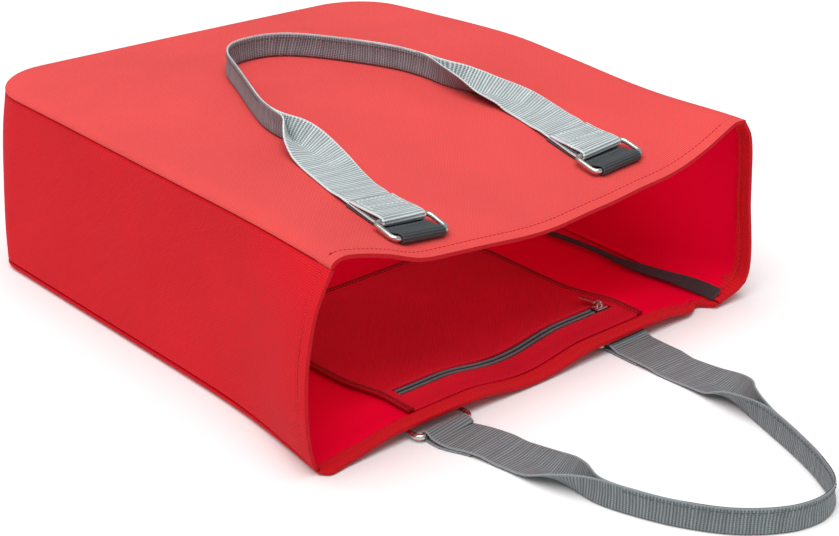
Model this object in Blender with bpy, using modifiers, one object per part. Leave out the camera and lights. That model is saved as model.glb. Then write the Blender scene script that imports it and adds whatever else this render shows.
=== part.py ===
"""Open shopper bag lying on its back panel.

Units are metres, +Z is up. The bag rests on its back panel with the mouth toward -Y and the
base toward +Y; X runs across the mouth. The origin is on the resting face under the middle of
the back panel. Two long faces (front on top, back on the floor) are joined by one strip, the
gusset, that runs down one side, across the base and up the other side.
"""
import math

import bpy
import bmesh
from mathutils import Vector

# Bag body
BAG_WIDTH = 0.382
BAG_HEIGHT = 0.435
BAG_DEPTH = 0.152
CLOTH = 0.0015
SEAM_GAP = 0.0003
FRONT_CORNER_RADIUS = 0.052
BACK_CORNER_RADIUS = 0.026
SHOULDER_WIDTH = 0.011
SHOULDER_RISE = 0.0065
HEEL_WIDTH = 0.006
HEEL_RISE = 0.005
HEM_WIDTH = 0.012

# How the cloth has settled
MOUTH_SAG = 0.030
SAG_REACH = 0.14
LIP_DROOP = 0.005
DROOP_REACH = 0.016
MOUTH_BOW = 0.026
BOW_REACH = 0.075
FRONT_CROWN = 0.006
BASE_BULGE = 0.005
TAB_LIFT = 0.0088
LIFT_FLAT_WIDTH = 0.066
LIFT_FLAT_LENGTH = 0.034
LIFT_SPREAD = 0.040
LIFT_REACH = 0.040

# Seam binding inside the bag, as shares of the gusset's depth for its two edges
BINDING_INSET = 0.006
BINDING_WIDTH = 0.056
BINDING_THICKNESS = 0.0022

# Inside pocket on the back panel
POCKET_WIDTH = 0.231
POCKET_SHIFT = -0.001
POCKET_START = 0.0135
POCKET_END = 0.2115
POCKET_CORNER_RADIUS = 0.036
POCKET_CLOTH = 0.0012
POCKET_BAND = 0.009
POCKET_GAP = 0.0005
ZIP_FROM_MOUTH = 0.040
ZIP_OPENING = 0.011
ZIP_END_MARGIN = 0.011
ZIP_TAPE_WIDTH = 0.022
ZIP_TAPE_THICKNESS = 0.0010
COIL_WIDTH = 0.0048
COIL_HEIGHT = 0.0016

# Zip slider and its pull
SLIDER_FROM_EDGE = 0.0190
SLIDER_LENGTH = 0.0110
SLIDER_WIDTH = 0.0085
SLIDER_HEIGHT = 0.0028
CROWN_LENGTH = 0.0060
CROWN_RISE = 0.0026
CROWN_WIRE = 0.0011
PULL_LENGTH = 0.0200
PULL_WIDTH = 0.0056
PULL_THICKNESS = 0.0012
PULL_EYE_RADIUS = 0.00145
PULL_EYE_WIRE = 0.0010
PULL_REST_TILT = 8.0

# Webbing, tabs and rings
WEB_WIDTH = 0.038
WEB_THICKNESS = 0.0015
LAYER_GAP = 0.0003
FACE_GAP = 0.00045
TAB_SPACING = 0.196
TAB_SHIFT = -0.002
BACK_TAB_SPACING = 0.187
BACK_TAB_SHIFT = -0.007
TAB_FROM_MOUTH_LEFT = 0.0155
TAB_FROM_MOUTH_RIGHT = 0.0230
TAB_LENGTH = 0.060
BACK_TAB_SHARE = 0.75
TAB_RETURN = 0.0195
RING_WIRE = 0.004
RING_BAR_SPACING = 0.021
RING_INNER_WIDTH = 0.044
RING_CORNER_RADIUS = 0.0045
BACK_BAR_LEFT = 0.014
BACK_BAR_RIGHT = 0.028
HANDLE_RETURN = 0.036
BACK_WEB_DROP = 0.018
FRONT_REACH = 0.286
BACK_REACH = 0.249
WEB_BEND = 0.0022
HANDLE_STATIONS = 46

# Height of the side seams of the front panel, as shares of the bag's depth
SEAM_ROWS = (
    # share of bag height, left side, right side
    (0.00, 0.985, 0.975),
    (0.18, 1.000, 0.970),
    (0.40, 1.000, 0.990),
    (0.55, 1.000, 0.995),
    (0.80, 1.000, 0.940),
    (1.00, 0.995, 0.885),
)
# Drop of the front lip, as shares of the mouth sag
LIP_ROWS = (
    # share of width, drop
    (0.00, 0.00),
    (0.04, 0.02),
    (0.12, 0.28),
    (0.19, 0.60),
    (0.26, 0.73),
    (0.33, 0.82),
    (0.48, 1.00),
    (0.62, 0.93),
    (0.71, 0.84),
    (0.81, 0.74),
    (0.89, 0.50),
    (0.96, 0.18),
    (1.00, 0.04),
)
# Outward bow of the gusset at the mouth, as shares of the mouth bow
BOW_ROWS = (
    # share of depth, left side, right side
    (0.00, 0.27, 0.20),
    (0.06, 0.62, 0.70),
    (0.13, 0.81, 0.90),
    (0.25, 0.94, 1.00),
    (0.40, 0.97, 1.00),
    (0.55, 0.93, 0.96),
    (0.70, 0.78, 0.91),
    (0.82, 0.58, 0.86),
    (0.92, 0.30, 0.74),
    (1.00, 0.04, 0.46),
)
# Roll of a panel's edge toward the gusset
SHOULDER_ROWS = (
    # share of the edge's width, share of its height
    (0.00, 0.00),
    (0.42, 0.08),
    (0.76, 0.30),
    (1.00, 0.62),
    (1.00, 1.00),
)
HEEL_ROWS = (
    # share of the edge's width, share of its height
    (0.00, 0.00),
    (0.50, 0.10),
    (1.00, 0.62),
    (1.00, 1.00),
)
# Rows of the cloth from the mouth to the start of the base corners
LEG_ROWS = (
    0.0, 0.012, 0.0126, 0.022, 0.033, 0.044, 0.056, 0.072, 0.092, 0.118, 0.155, 0.210, 0.290,
)
GUSSET_LEVELS = (
    0.0, BINDING_INSET, BINDING_INSET + BINDING_WIDTH, 0.13, 0.27, 0.42, 0.58, 0.73, 0.87,
    1 - BINDING_INSET - BINDING_WIDTH, 1 - BINDING_INSET, 1.0,
)

# Centre lines of the handles between their rings: place across the bag as a share of the tab
# spacing, place from the ring as a share of the reach, and how far each half of the web stands up
FRONT_HANDLE_ROWS = (
    # across, reach, outer half, inner half
    (-0.464, 0.091, 0.0, 0.0),
    (-0.429, 0.168, 0.0, 2.0),
    (-0.383, 0.276, 2.0, 6.0),
    (-0.388, 0.364, 10.0, 25.0),
    (-0.444, 0.451, 58.0, 62.0),
    (-0.470, 0.521, 88.0, 88.0),
    (-0.454, 0.591, 90.0, 90.0),
    (-0.403, 0.685, 90.0, 90.0),
    (-0.316, 0.825, 90.0, 90.0),
    (-0.245, 0.930, 90.0, 90.0),
    (-0.168, 0.986, 90.0, 90.0),
    (-0.077, 1.000, 90.0, 90.0),
    (0.025, 0.983, 90.0, 90.0),
    (0.107, 0.930, 90.0, 90.0),
    (0.204, 0.797, 90.0, 90.0),
    (0.286, 0.661, 90.0, 90.0),
    (0.327, 0.573, 88.0, 88.0),
    (0.352, 0.503, 74.0, 70.0),
    (0.423, 0.427, 38.0, 26.0),
    (0.490, 0.346, 18.0, 5.0),
    (0.515, 0.259, 6.0, 0.0),
    (0.515, 0.171, 2.0, 0.0),
    (0.495, 0.091, 0.0, 0.0),
)
BACK_HANDLE_ROWS = (
    # across, reach, outer half, inner half
    (-0.460, 0.141, 0.0, 0.0),
    (-0.433, 0.241, 2.0, 4.0),
    (-0.418, 0.353, 10.0, 20.0),
    (-0.423, 0.462, 50.0, 58.0),
    (-0.427, 0.562, 86.0, 86.0),
    (-0.384, 0.675, 90.0, 90.0),
    (-0.320, 0.783, 90.0, 90.0),
    (-0.213, 0.896, 90.0, 90.0),
    (-0.064, 0.976, 90.0, 90.0),
    (0.074, 0.996, 90.0, 90.0),
    (0.182, 0.964, 90.0, 90.0),
    (0.268, 0.867, 90.0, 90.0),
    (0.337, 0.743, 90.0, 90.0),
    (0.396, 0.610, 88.0, 88.0),
    (0.449, 0.490, 70.0, 58.0),
    (0.497, 0.394, 32.0, 16.0),
    (0.508, 0.297, 8.0, 4.0),
    (0.503, 0.193, 0.0, 0.0),
    (0.500, 0.110, 0.0, 0.0),
)
# Layer of a web that comes down from a bar onto the layer below it, as shares of its length and
# of the full step over the bar
OVER_BAR_ROWS = (
    # along, height
    (0.00, 1.00),
    (0.12, 0.97),
    (0.35, 0.70),
    (0.60, 0.36),
    (0.82, 0.10),
    (1.00, 0.00),
)

LEFT = -1
RIGHT = 1
MOUTH_Y = -BAG_HEIGHT / 2
SLIDER_X = POCKET_SHIFT + POCKET_WIDTH / 2 - SLIDER_FROM_EDGE
FOLD_RADIUS = RING_WIRE / 2 + LAYER_GAP + WEB_THICKNESS / 2
LAYER_STEP = WEB_THICKNESS + LAYER_GAP
TAB_HEIGHT = FACE_GAP + WEB_THICKNESS / 2

for old in list(bpy.data.objects):
    bpy.data.objects.remove(old, do_unlink=True)
parts = bpy.data.collections.new("shopper_bag")


def eased(rows, column, at):
    """Value of a table's column at a place along its first column, by smooth steps."""
    if at <= rows[0][0]:
        return rows[0][column]
    if at >= rows[-1][0]:
        return rows[-1][column]
    last = len(rows) - 1
    i = 0
    while rows[i + 1][0] < at:
        i += 1

    def slope(k):
        low, high = max(k - 1, 0), min(k + 1, last)
        return (rows[high][column] - rows[low][column]) / (rows[high][0] - rows[low][0])

    span = rows[i + 1][0] - rows[i][0]
    t = (at - rows[i][0]) / span
    start, end = rows[i][column], rows[i + 1][column]
    return (
        start * (1 + 2 * t) * (1 - t) ** 2
        + end * t * t * (3 - 2 * t)
        + slope(i) * span * t * (1 - t) ** 2
        - slope(i + 1) * span * t * t * (1 - t)
    )


def fade(distance, reach):
    """Bell that is 1 at no distance and falls off over the reach."""
    return math.exp(-((distance / reach) ** 2))


def step(value):
    """Smooth step from 0 to 1."""
    t = min(max(value, 0.0), 1.0)
    return t * t * (3 - 2 * t)


def tab_x(side, front):
    if front:
        return side * TAB_SPACING / 2 + TAB_SHIFT
    return side * BACK_TAB_SPACING / 2 + BACK_TAB_SHIFT


def bow(side, along, level):
    """How far the gusset stands out from the bag's straight side."""
    column = 1 if side == LEFT else 2
    return MOUTH_BOW * eased(BOW_ROWS, column, level) * fade(along, BOW_REACH)


def side_x(side, along, level):
    return side * (BAG_WIDTH / 2 + bow(side, along, level))


def seam_height(x, along):
    """Height of the front seam, blended across the width between its two sides."""
    share = along / BAG_HEIGHT
    across = x / BAG_WIDTH + 0.5
    left, right = eased(SEAM_ROWS, 1, share), eased(SEAM_ROWS, 2, share)
    return BAG_DEPTH * (left + (right - left) * across)


def front_top(x, along):
    """Height of the front panel's outer face inside its rolled shoulder."""
    left, right = side_x(LEFT, along, 1), side_x(RIGHT, along, 1)
    across = min(max((x - left) / (right - left), 0), 1)
    droop = LIP_DROOP * fade(along, DROOP_REACH)
    drop = (MOUTH_SAG * fade(along, SAG_REACH) + droop) * eased(LIP_ROWS, 1, across)
    crown = FRONT_CROWN * math.sin(math.pi * across) * math.sin(math.pi * along / BAG_HEIGHT)
    return seam_height(x, along) + SHOULDER_RISE + crown - drop


def back_lift(x, along):
    """How far the back panel stands off the floor over the tabs and rings below it."""
    beyond = max(along - LIFT_FLAT_LENGTH, 0)
    total = 0.0
    for side in (LEFT, RIGHT):
        away = max(abs(x - tab_x(side, False)) - LIFT_FLAT_WIDTH / 2, 0)
        total += fade(away, LIFT_SPREAD)
    return TAB_LIFT * min(total, 1.0) * fade(beyond, LIFT_REACH)


def front_seam(x, along):
    return seam_height(x, along)


def back_seam(x, along):
    return HEEL_RISE + back_lift(x, along)


def flank(side, corner_radius, inset, bow_level):
    """Stations down one side and round its base corner, each with its outward direction."""
    bend = BAG_HEIGHT - corner_radius
    stations = [(side_x(side, a, bow_level) - side * inset, a, side, 0.0) for a in LEG_ROWS]
    centre = side * (BAG_WIDTH / 2 - corner_radius)
    for turn in (0.0, 22.5, 45.0, 67.5, 90.0):
        nx = side * math.cos(math.radians(turn))
        ny = math.sin(math.radians(turn))
        radius = corner_radius - inset
        stations.append((centre + nx * radius, bend + ny * radius, nx, ny))
    return stations


def new_object(name, work, material, smooth_angle=40.0):
    """Turn a working mesh into a named object in the parts collection."""
    mesh = bpy.data.meshes.new(name)
    work.to_mesh(mesh)
    work.free()
    mesh.shade_smooth()
    mesh.set_sharp_from_angle(angle=math.radians(smooth_angle))
    mesh.materials.append(material)
    obj = bpy.data.objects.new(name, mesh)
    parts.objects.link(obj)
    return obj


def grid_faces(work, grid, skip=()):
    """Quads between neighbouring rows of vertices, except the cells to be left open."""
    for i in range(len(grid) - 1):
        low, high = grid[i], grid[i + 1]
        for j in range(len(low) - 1):
            if (i, j) not in skip:
                work.faces.new((low[j], low[j + 1], high[j + 1], high[j]))


def face_toward(work, direction):
    """Turn the whole surface so that it looks mostly toward the direction."""
    bmesh.ops.recalc_face_normals(work, faces=work.faces)
    total = sum(face.normal.dot(direction) * face.calc_area() for face in work.faces)
    if total < 0:
        bmesh.ops.reverse_faces(work, faces=work.faces)


def thicken(obj, thickness, offset=-1.0, doubled=()):
    """Give a sheet its thickness; the listed vertices lie where the cloth is folded double."""
    solidify = obj.modifiers.new("Cloth", "SOLIDIFY")
    solidify.offset = offset
    solidify.thickness = thickness
    if doubled:
        solidify.thickness = 2 * thickness
        group = obj.vertex_groups.new(name="doubled")
        group.add(list(doubled), 1.0, "REPLACE")
        solidify.vertex_group = group.name
        solidify.thickness_vertex_group = 0.5


def hem_vertices(obj):
    edge = MOUTH_Y + HEM_WIDTH + 1e-5
    return [v.index for v in obj.data.vertices if v.co.y < edge]


def back_columns():
    """Places across the back panel where its cloth and the pocket on it both have vertices."""
    places = []
    for side in (LEFT, RIGHT):
        for share in (-1.0, -0.45, 0.45, 1.0):
            places.append(tab_x(side, False) + share * LIFT_FLAT_WIDTH / 2)
    outer = LIFT_FLAT_WIDTH / 2 + 0.020
    for side in (LEFT, RIGHT):
        places += [tab_x(side, False) - outer, tab_x(side, False) + outer]
    places += [BACK_TAB_SHIFT + share * outer for share in (-0.35, 0.0, 0.35)]
    return sorted(places)


def even_columns(count):
    return [i / count for i in range(1, count)]


def panel(name, corner_radius, edge_width, profile, level, top, seam, columns, material, outward):
    """A long face: a grid inside a U-shaped edge that rolls over toward the gusset."""
    work = bmesh.new()
    left = flank(LEFT, corner_radius, edge_width, level)
    right = flank(RIGHT, corner_radius, edge_width, level)
    grid = []
    for row_left, row_right in zip(left, right):
        start, end, a = row_left[0], row_right[0], row_left[1]
        inner = columns if columns[0] < 0 else [start + (end - start) * t for t in columns]
        places = [start] + list(inner) + [end]
        grid.append([work.verts.new((x, MOUTH_Y + a, top(x, a))) for x in places])
    grid_faces(work, grid)

    base = [(v.co.x, BAG_HEIGHT - edge_width, 0.0, 1.0) for v in grid[-1][1:-1]]
    stations = left + base + right[::-1]
    strip = [[row[0] for row in grid] + grid[-1][1:-1] + [row[-1] for row in grid[::-1]]]
    for width_share, height_share in profile[1:]:
        ring = []
        for x, a, nx, ny in stations:
            px, pa = x + nx * edge_width * width_share, a + ny * edge_width * width_share
            z = top(x, a) + (seam(px, pa) - top(x, a)) * height_share
            ring.append(work.verts.new((px, MOUTH_Y + pa, z)))
        strip.append(ring)
    grid_faces(work, strip)
    face_toward(work, outward)
    obj = new_object(name, work, material)
    thicken(obj, CLOTH, doubled=hem_vertices(obj))
    return obj


def gusset_rings(seam_level=None):
    """Points of the gusset's outer face, one ring of stations for each level.

    With a seam level the rings stand straight over that seam, as the seam's allowance does.
    """
    rings = []
    for level in GUSSET_LEVELS:
        radius = BACK_CORNER_RADIUS + (FRONT_CORNER_RADIUS - BACK_CORNER_RADIUS) * level
        bow_level = level if seam_level is None else seam_level
        left, right = flank(LEFT, radius, 0.0, bow_level), flank(RIGHT, radius, 0.0, bow_level)
        start, end = left[-1][0], right[-1][0]
        base = [(start + (end - start) * t, BAG_HEIGHT, 0.0, 1.0) for t in even_columns(6)]
        ring = []
        for x, a, nx, ny in left + base + right[::-1]:
            bulge = BASE_BULGE * math.sin(math.pi * level) * ny
            low = back_seam(x, a) + SEAM_GAP
            high = front_seam(x, a) - SEAM_GAP
            px, pa = x + nx * bulge, a + ny * bulge
            ring.append(Vector((px, MOUTH_Y + pa, low + (high - low) * level)))
        rings.append(ring)
    return rings


def add_gusset(material):
    work = bmesh.new()
    rings = gusset_rings()
    grid = [[work.verts.new(point) for point in ring] for ring in rings]
    grid_faces(work, grid)
    bmesh.ops.recalc_face_normals(work, faces=work.faces)
    work.faces.ensure_lookup_table()
    first = work.faces[len(rings[0]) * 4]
    if first.normal.x * first.calc_center_median().x < 0:
        bmesh.ops.reverse_faces(work, faces=work.faces)
    obj = new_object("gusset", work, material)
    thicken(obj, CLOTH, doubled=hem_vertices(obj))
    return obj


def add_binding(name, low_index, seam_level, material):
    """Binding of the seam's allowance inside the gusset, from just inside the hem round the U."""
    rings = gusset_rings(seam_level)
    inward = CLOTH + LAYER_GAP + BINDING_THICKNESS / 2
    first = 3
    last = len(rings[0]) - 4
    work = bmesh.new()
    grid = []
    for k in (low_index, low_index + 1):
        row = []
        for i in range(first, last + 1):
            along = rings[k][i + 1] - rings[k][i - 1]
            up = rings[low_index + 1][i] - rings[low_index][i]
            normal = along.cross(up).normalized()
            if normal.dot(rings[k][i] - Vector((0, 0, rings[k][i].z))) > 0:
                normal = -normal
            row.append(work.verts.new(rings[k][i] + normal * inward))
        grid.append(row)
    grid_faces(work, grid)
    bmesh.ops.recalc_face_normals(work, faces=work.faces)
    obj = new_object(name, work, material)
    thicken(obj, BINDING_THICKNESS, offset=0.0)
    return obj


def back_inner(x, along):
    """Height of the back panel's inner face, read off the panel's own grid."""
    columns = back_columns()
    rows = LEG_ROWS
    i = max(k for k in range(len(columns) - 1) if columns[k] <= x + 1e-9 or k == 0)
    j = max(k for k in range(len(rows) - 1) if rows[k] <= along + 1e-9)
    x0, x1, a0, a1 = columns[i], columns[i + 1], rows[j], rows[j + 1]
    u, v = (x - x0) / (x1 - x0), (along - a0) / (a1 - a0)
    low = back_lift(x0, a0) * (1 - u) + back_lift(x1, a0) * u
    high = back_lift(x0, a1) * (1 - u) + back_lift(x1, a1) * u
    return CLOTH + low * (1 - v) + high * v


def merged(places, near=0.0012):
    """Sorted places without near doubles; the earlier listed one of two stays."""
    kept = []
    for place in places:
        if all(abs(place - other) > near for other in kept):
            kept.append(place)
    return sorted(kept)


def add_pocket(material):
    half = POCKET_WIDTH / 2
    slot = half - ZIP_END_MARGIN
    near, far = ZIP_FROM_MOUTH - ZIP_OPENING / 2, ZIP_FROM_MOUTH + ZIP_OPENING / 2
    raised_near = ZIP_FROM_MOUTH - ZIP_TAPE_WIDTH / 2 - LAYER_GAP
    raised_far = ZIP_FROM_MOUTH + ZIP_TAPE_WIDTH / 2 + LAYER_GAP
    ramp = 0.0022
    own = [-half, half, -half + POCKET_BAND, half - POCKET_BAND, -slot, slot]
    inside = [c - POCKET_SHIFT for c in back_columns() if abs(c - POCKET_SHIFT) < slot]
    columns = merged(own + inside)
    turn = POCKET_END - POCKET_CORNER_RADIUS
    arc = [turn + POCKET_CORNER_RADIUS * math.sin(math.radians(t)) for t in (0, 22.5, 45, 67.5)]
    own_rows = [POCKET_START, near, far, raised_near, raised_near - ramp, raised_far]
    own_rows += [raised_far + ramp, POCKET_START + POCKET_BAND, POCKET_END - POCKET_BAND]
    own_rows += arc + [POCKET_END]
    rows = merged(own_rows + [r for r in LEG_ROWS if POCKET_START < r < turn])

    work = bmesh.new()
    grid, doubled = [], []
    for a in rows:
        past = max(a - turn, 0.0)
        narrow = POCKET_CORNER_RADIUS - math.sqrt(max(POCKET_CORNER_RADIUS ** 2 - past ** 2, 0.0))
        ratio = (half - narrow) / half
        row = []
        for c in columns:
            x = c * ratio
            raise_now = raised_near - 1e-6 < a < raised_far + 1e-6 and abs(c) < half - POCKET_BAND / 2
            rise = ZIP_TAPE_THICKNESS + LAYER_GAP if raise_now else 0.0
            z = back_inner(x + POCKET_SHIFT, a) + POCKET_GAP + rise
            row.append(work.verts.new((x + POCKET_SHIFT, MOUTH_Y + a, z)))
            edge = min(a - POCKET_START, POCKET_END - a, half - abs(c))
            if edge < POCKET_BAND + 1e-5:
                doubled.append(len(grid) * len(columns) + len(row) - 1)
        grid.append(row)
    open_row = rows.index(near)
    open_rows = range(open_row, rows.index(far))
    open_columns = range(columns.index(-slot), columns.index(slot))
    skip = {(i, j) for i in open_rows for j in open_columns}
    grid_faces(work, grid, skip)
    face_toward(work, Vector((0, 0, 1)))
    obj = new_object("pocket_panel", work, material)
    thicken(obj, POCKET_CLOTH, offset=1.0, doubled=doubled)
    return obj


def zip_columns(half, end):
    inside = [c for c in back_columns() if -half + 0.004 < c - POCKET_SHIFT < end - 0.004]
    return [-half + POCKET_SHIFT] + inside + [end + POCKET_SHIFT]


def add_zip_tape(material):
    half = POCKET_WIDTH / 2 - POCKET_BAND + LAYER_GAP
    work = bmesh.new()
    rows = merged([ZIP_FROM_MOUTH - ZIP_TAPE_WIDTH / 2, ZIP_FROM_MOUTH + ZIP_TAPE_WIDTH / 2]
                  + [r for r in LEG_ROWS if abs(r - ZIP_FROM_MOUTH) < ZIP_TAPE_WIDTH / 2])
    grid = []
    for a in rows:
        grid.append([work.verts.new((x, MOUTH_Y + a, back_inner(x, a) + POCKET_GAP))
                     for x in zip_columns(half - 0.0005, half - 0.0005)])
    grid_faces(work, grid)
    face_toward(work, Vector((0, 0, 1)))
    obj = new_object("zip_tape", work, material)
    thicken(obj, ZIP_TAPE_THICKNESS, offset=1.0)
    return obj


def zip_top(x, along=ZIP_FROM_MOUTH):
    return back_inner(x, along) + POCKET_GAP + ZIP_TAPE_THICKNESS + LAYER_GAP


def add_zip_coil(material):
    """The closed teeth, from the left end of the zip up to the slider."""
    half = POCKET_WIDTH / 2 - ZIP_END_MARGIN - 0.001
    end = SLIDER_X - SLIDER_LENGTH / 2 - 0.0006 - POCKET_SHIFT
    work = bmesh.new()
    grid = []
    for share in (-0.5, 0.5):
        a = ZIP_FROM_MOUTH + share * COIL_WIDTH
        grid.append([work.verts.new((x, MOUTH_Y + a, zip_top(x)))
                     for x in zip_columns(half, end)])
    grid_faces(work, grid)
    face_toward(work, Vector((0, 0, 1)))
    obj = new_object("zip_coil", work, material)
    thicken(obj, COIL_HEIGHT, offset=1.0)
    bevel = obj.modifiers.new("Round", "BEVEL")
    bevel.width = COIL_HEIGHT * 0.3
    bevel.segments = 1
    bevel.limit_method = "ANGLE"
    return obj


def add_block(name, size, centre, material, bevel_width=0.0):
    work = bmesh.new()
    bmesh.ops.create_cube(work, size=1.0)
    bmesh.ops.scale(work, vec=size, verts=work.verts)
    bmesh.ops.translate(work, vec=centre, verts=work.verts)
    obj = new_object(name, work, material)
    if bevel_width:
        bevel = obj.modifiers.new("Edges", "BEVEL")
        bevel.width = bevel_width
        bevel.segments = 2
    return obj


def join_on(obj, cutter):
    """Weld a helper solid onto the object."""
    parts.objects.unlink(cutter)
    helpers.objects.link(cutter)
    cutter.hide_render = True
    cutter.display_type = "WIRE"
    union = obj.modifiers.new("Weld", "BOOLEAN")
    union.operation = "UNION"
    union.solver = "EXACT"
    union.object = cutter


def bar_centre():
    top = zip_top(SLIDER_X) + SLIDER_HEIGHT
    return Vector((SLIDER_X, MOUTH_Y + ZIP_FROM_MOUTH, top + CROWN_RISE))


def add_slider(material):
    bar = bar_centre()
    low = zip_top(SLIDER_X)
    centre = Vector((bar.x, bar.y, low + SLIDER_HEIGHT / 2))
    obj = add_block("zip_slider", (SLIDER_LENGTH, SLIDER_WIDTH, SLIDER_HEIGHT), centre, material,
                    bevel_width=0.0009)
    post_height = CROWN_RISE + CROWN_WIRE / 2 + SLIDER_HEIGHT / 2
    for side in (LEFT, RIGHT):
        x = bar.x + side * (CROWN_LENGTH - CROWN_WIRE) / 2
        post = add_block("crown_post_" + ("a" if side == LEFT else "b"),
                         (CROWN_WIRE, CROWN_WIRE, post_height),
                         Vector((x, bar.y, bar.z + CROWN_WIRE / 2 - post_height / 2)), material)
        join_on(obj, post)
    bridge = add_block("crown_bar", (CROWN_LENGTH - 0.5 * CROWN_WIRE, CROWN_WIRE * 0.8,
                                     CROWN_WIRE * 0.8), bar, material)
    join_on(obj, bridge)
    return obj


def add_pull(material):
    """The pull hangs on the crown by its eye and lies across the pocket toward the base."""
    bar = bar_centre()
    neck = PULL_EYE_RADIUS + 0.0002
    obj = add_block("zip_pull", (PULL_WIDTH, PULL_LENGTH - neck - 0.0018, PULL_THICKNESS),
                    Vector((0, neck + 0.0018 + (PULL_LENGTH - neck - 0.0018) / 2, 0)), material,
                    bevel_width=0.0003)
    arm = add_block("pull_neck", (PULL_WIDTH * 0.5, 0.0030, PULL_THICKNESS * 0.8),
                    Vector((0, neck + 0.0015, 0)), material)
    join_on(obj, arm)
    work = bmesh.new()
    grid = []
    for i in range(16):
        turn = 2 * math.pi * i / 16
        ring = []
        for k in range(8):
            tube = 2 * math.pi * k / 8
            reach = PULL_EYE_RADIUS + PULL_EYE_WIRE / 2 * math.cos(tube)
            ring.append(work.verts.new((PULL_EYE_WIRE / 2 * math.sin(tube),
                                        reach * math.cos(turn), reach * math.sin(turn))))
        grid.append(ring + [ring[0]])
    grid_faces(work, grid + [grid[0]])
    face_toward_outside(work)
    eye = new_object("pull_eye", work, material)
    join_on(obj, eye)
    for piece in (obj, arm, eye):
        piece.location = bar
        piece.rotation_euler = (-math.radians(PULL_REST_TILT), 0.0, 0.0)
    return obj


def face_toward_outside(work):
    """Turn a closed shell so that it looks outward."""
    bmesh.ops.recalc_face_normals(work, faces=work.faces)
    if work.calc_volume(signed=True) < 0:
        bmesh.ops.reverse_faces(work, faces=work.faces)


def front_bed(side, x, along, bar):
    """Height of the straight line across a front tab's two borders, level close to the bar."""
    left = tab_x(side, True) - WEB_WIDTH / 2
    right = tab_x(side, True) + WEB_WIDTH / 2
    away = along - bar
    place = bar + away * step((abs(away) - FOLD_RADIUS) / (4 * FOLD_RADIUS))
    low, high = front_top(left, place), front_top(right, place)
    return low + (high - low) * (x - left) / WEB_WIDTH


def folded_path(length, return_length):
    """A web folded round a bar: its place along from the bar and its height over its own bed.

    Starts at the far end of the bedded layer, goes round the bar and ends at the returned end.
    """
    path = [(length - FOLD_RADIUS, 0.0)]
    pieces = 4
    for i in range(1, pieces):
        path.append(((length - FOLD_RADIUS) * (1 - i / pieces), 0.0))
    for i in range(7):
        turn = math.pi * i / 6
        path.append((-FOLD_RADIUS * math.sin(turn), FOLD_RADIUS * (1 - math.cos(turn))))
    return path + returned_path(return_length)


def returned_path(return_length):
    """The layer that leaves the top of the bar and comes down to its bed."""
    over = 2 * FOLD_RADIUS - LAYER_STEP
    length = return_length - FOLD_RADIUS
    return [(share * length, LAYER_STEP + over * height) for share, height in OVER_BAR_ROWS[1:]]


def add_tab(name, side, front, material):
    """Short web sewn to the panel, folded round the ring's bar."""
    work = bmesh.new()
    bar = ring_ends(side, front)[0][0]
    length = TAB_LENGTH if front else TAB_LENGTH * BACK_TAB_SHARE
    grid = []
    for along, rise in folded_path(length, TAB_RETURN):
        a = bar + along
        row = []
        for share in (-0.5, 0.0, 0.5):
            x = tab_x(side, front) + share * WEB_WIDTH
            if front:
                z = front_bed(side, x, a, bar) + TAB_HEIGHT + rise
            else:
                z = back_lift(tab_x(side, front), a) - TAB_HEIGHT - rise
            row.append(work.verts.new((x, MOUTH_Y + a, z)))
        grid.append(row)
    grid_faces(work, grid)
    bmesh.ops.recalc_face_normals(work, faces=work.faces)
    obj = new_object(name, work, material, 60.0)
    thicken(obj, WEB_THICKNESS, offset=0.0)
    return obj


def back_bar(side):
    """Place of the bar held by a tab under the back panel, from the mouth."""
    return BACK_BAR_LEFT if side == LEFT else BACK_BAR_RIGHT


def ring_ends(side, front):
    """The two bars of a ring: the tab's and the handle's, each as place along and height."""
    if front:
        tab_bar = FOLD_RADIUS + (TAB_FROM_MOUTH_LEFT if side == LEFT else TAB_FROM_MOUTH_RIGHT)
        web_bar = tab_bar + RING_BAR_SPACING
        heights = (TAB_HEIGHT + FOLD_RADIUS, TAB_HEIGHT + LAYER_STEP + FOLD_RADIUS)
    else:
        tab_bar = back_bar(side)
        web_bar = tab_bar - RING_BAR_SPACING
        heights = (TAB_LIFT - TAB_HEIGHT - FOLD_RADIUS, WEB_THICKNESS / 2 + FOLD_RADIUS)
    return (tab_bar, heights[0]), (web_bar, heights[1])


def add_ring(name, side, front, material):
    (tab_bar, tab_z), (web_bar, web_z) = ring_ends(side, front)
    half = RING_INNER_WIDTH / 2 + RING_WIRE / 2
    direction = 1 if web_bar > tab_bar else -1
    points = []
    corners = ((LEFT, 0, 180), (RIGHT, 0, 270), (RIGHT, 1, 0), (LEFT, 1, 90))
    for across, which, start in corners:
        for i in range(3):
            turn = math.radians(start + 45 * i)
            p = across * (half - RING_CORNER_RADIUS) + RING_CORNER_RADIUS * math.cos(turn)
            middle = RING_CORNER_RADIUS if which == 0 else RING_BAR_SPACING - RING_CORNER_RADIUS
            q = middle + RING_CORNER_RADIUS * math.sin(turn)
            share = q / RING_BAR_SPACING
            x, a = tab_x(side, front) + p, tab_bar + direction * q
            height = tab_z + (web_z - tab_z) * share
            if front:
                ends = [front_bed(side, x, bar, bar) for bar in (tab_bar, web_bar)]
                height += ends[0] + (ends[1] - ends[0]) * share
            points.append((x, MOUTH_Y + a, height))
    curve = bpy.data.curves.new(name, "CURVE")
    curve.dimensions = "3D"
    curve.bevel_depth = RING_WIRE / 2
    curve.bevel_resolution = 2
    spline = curve.splines.new("POLY")
    spline.points.add(len(points) - 1)
    for slot, point in zip(spline.points, points):
        slot.co = (point[0], point[1], point[2], 1.0)
    spline.use_cyclic_u = True
    curve.materials.append(material)
    obj = bpy.data.objects.new(name, curve)
    parts.objects.link(obj)
    return obj


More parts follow.
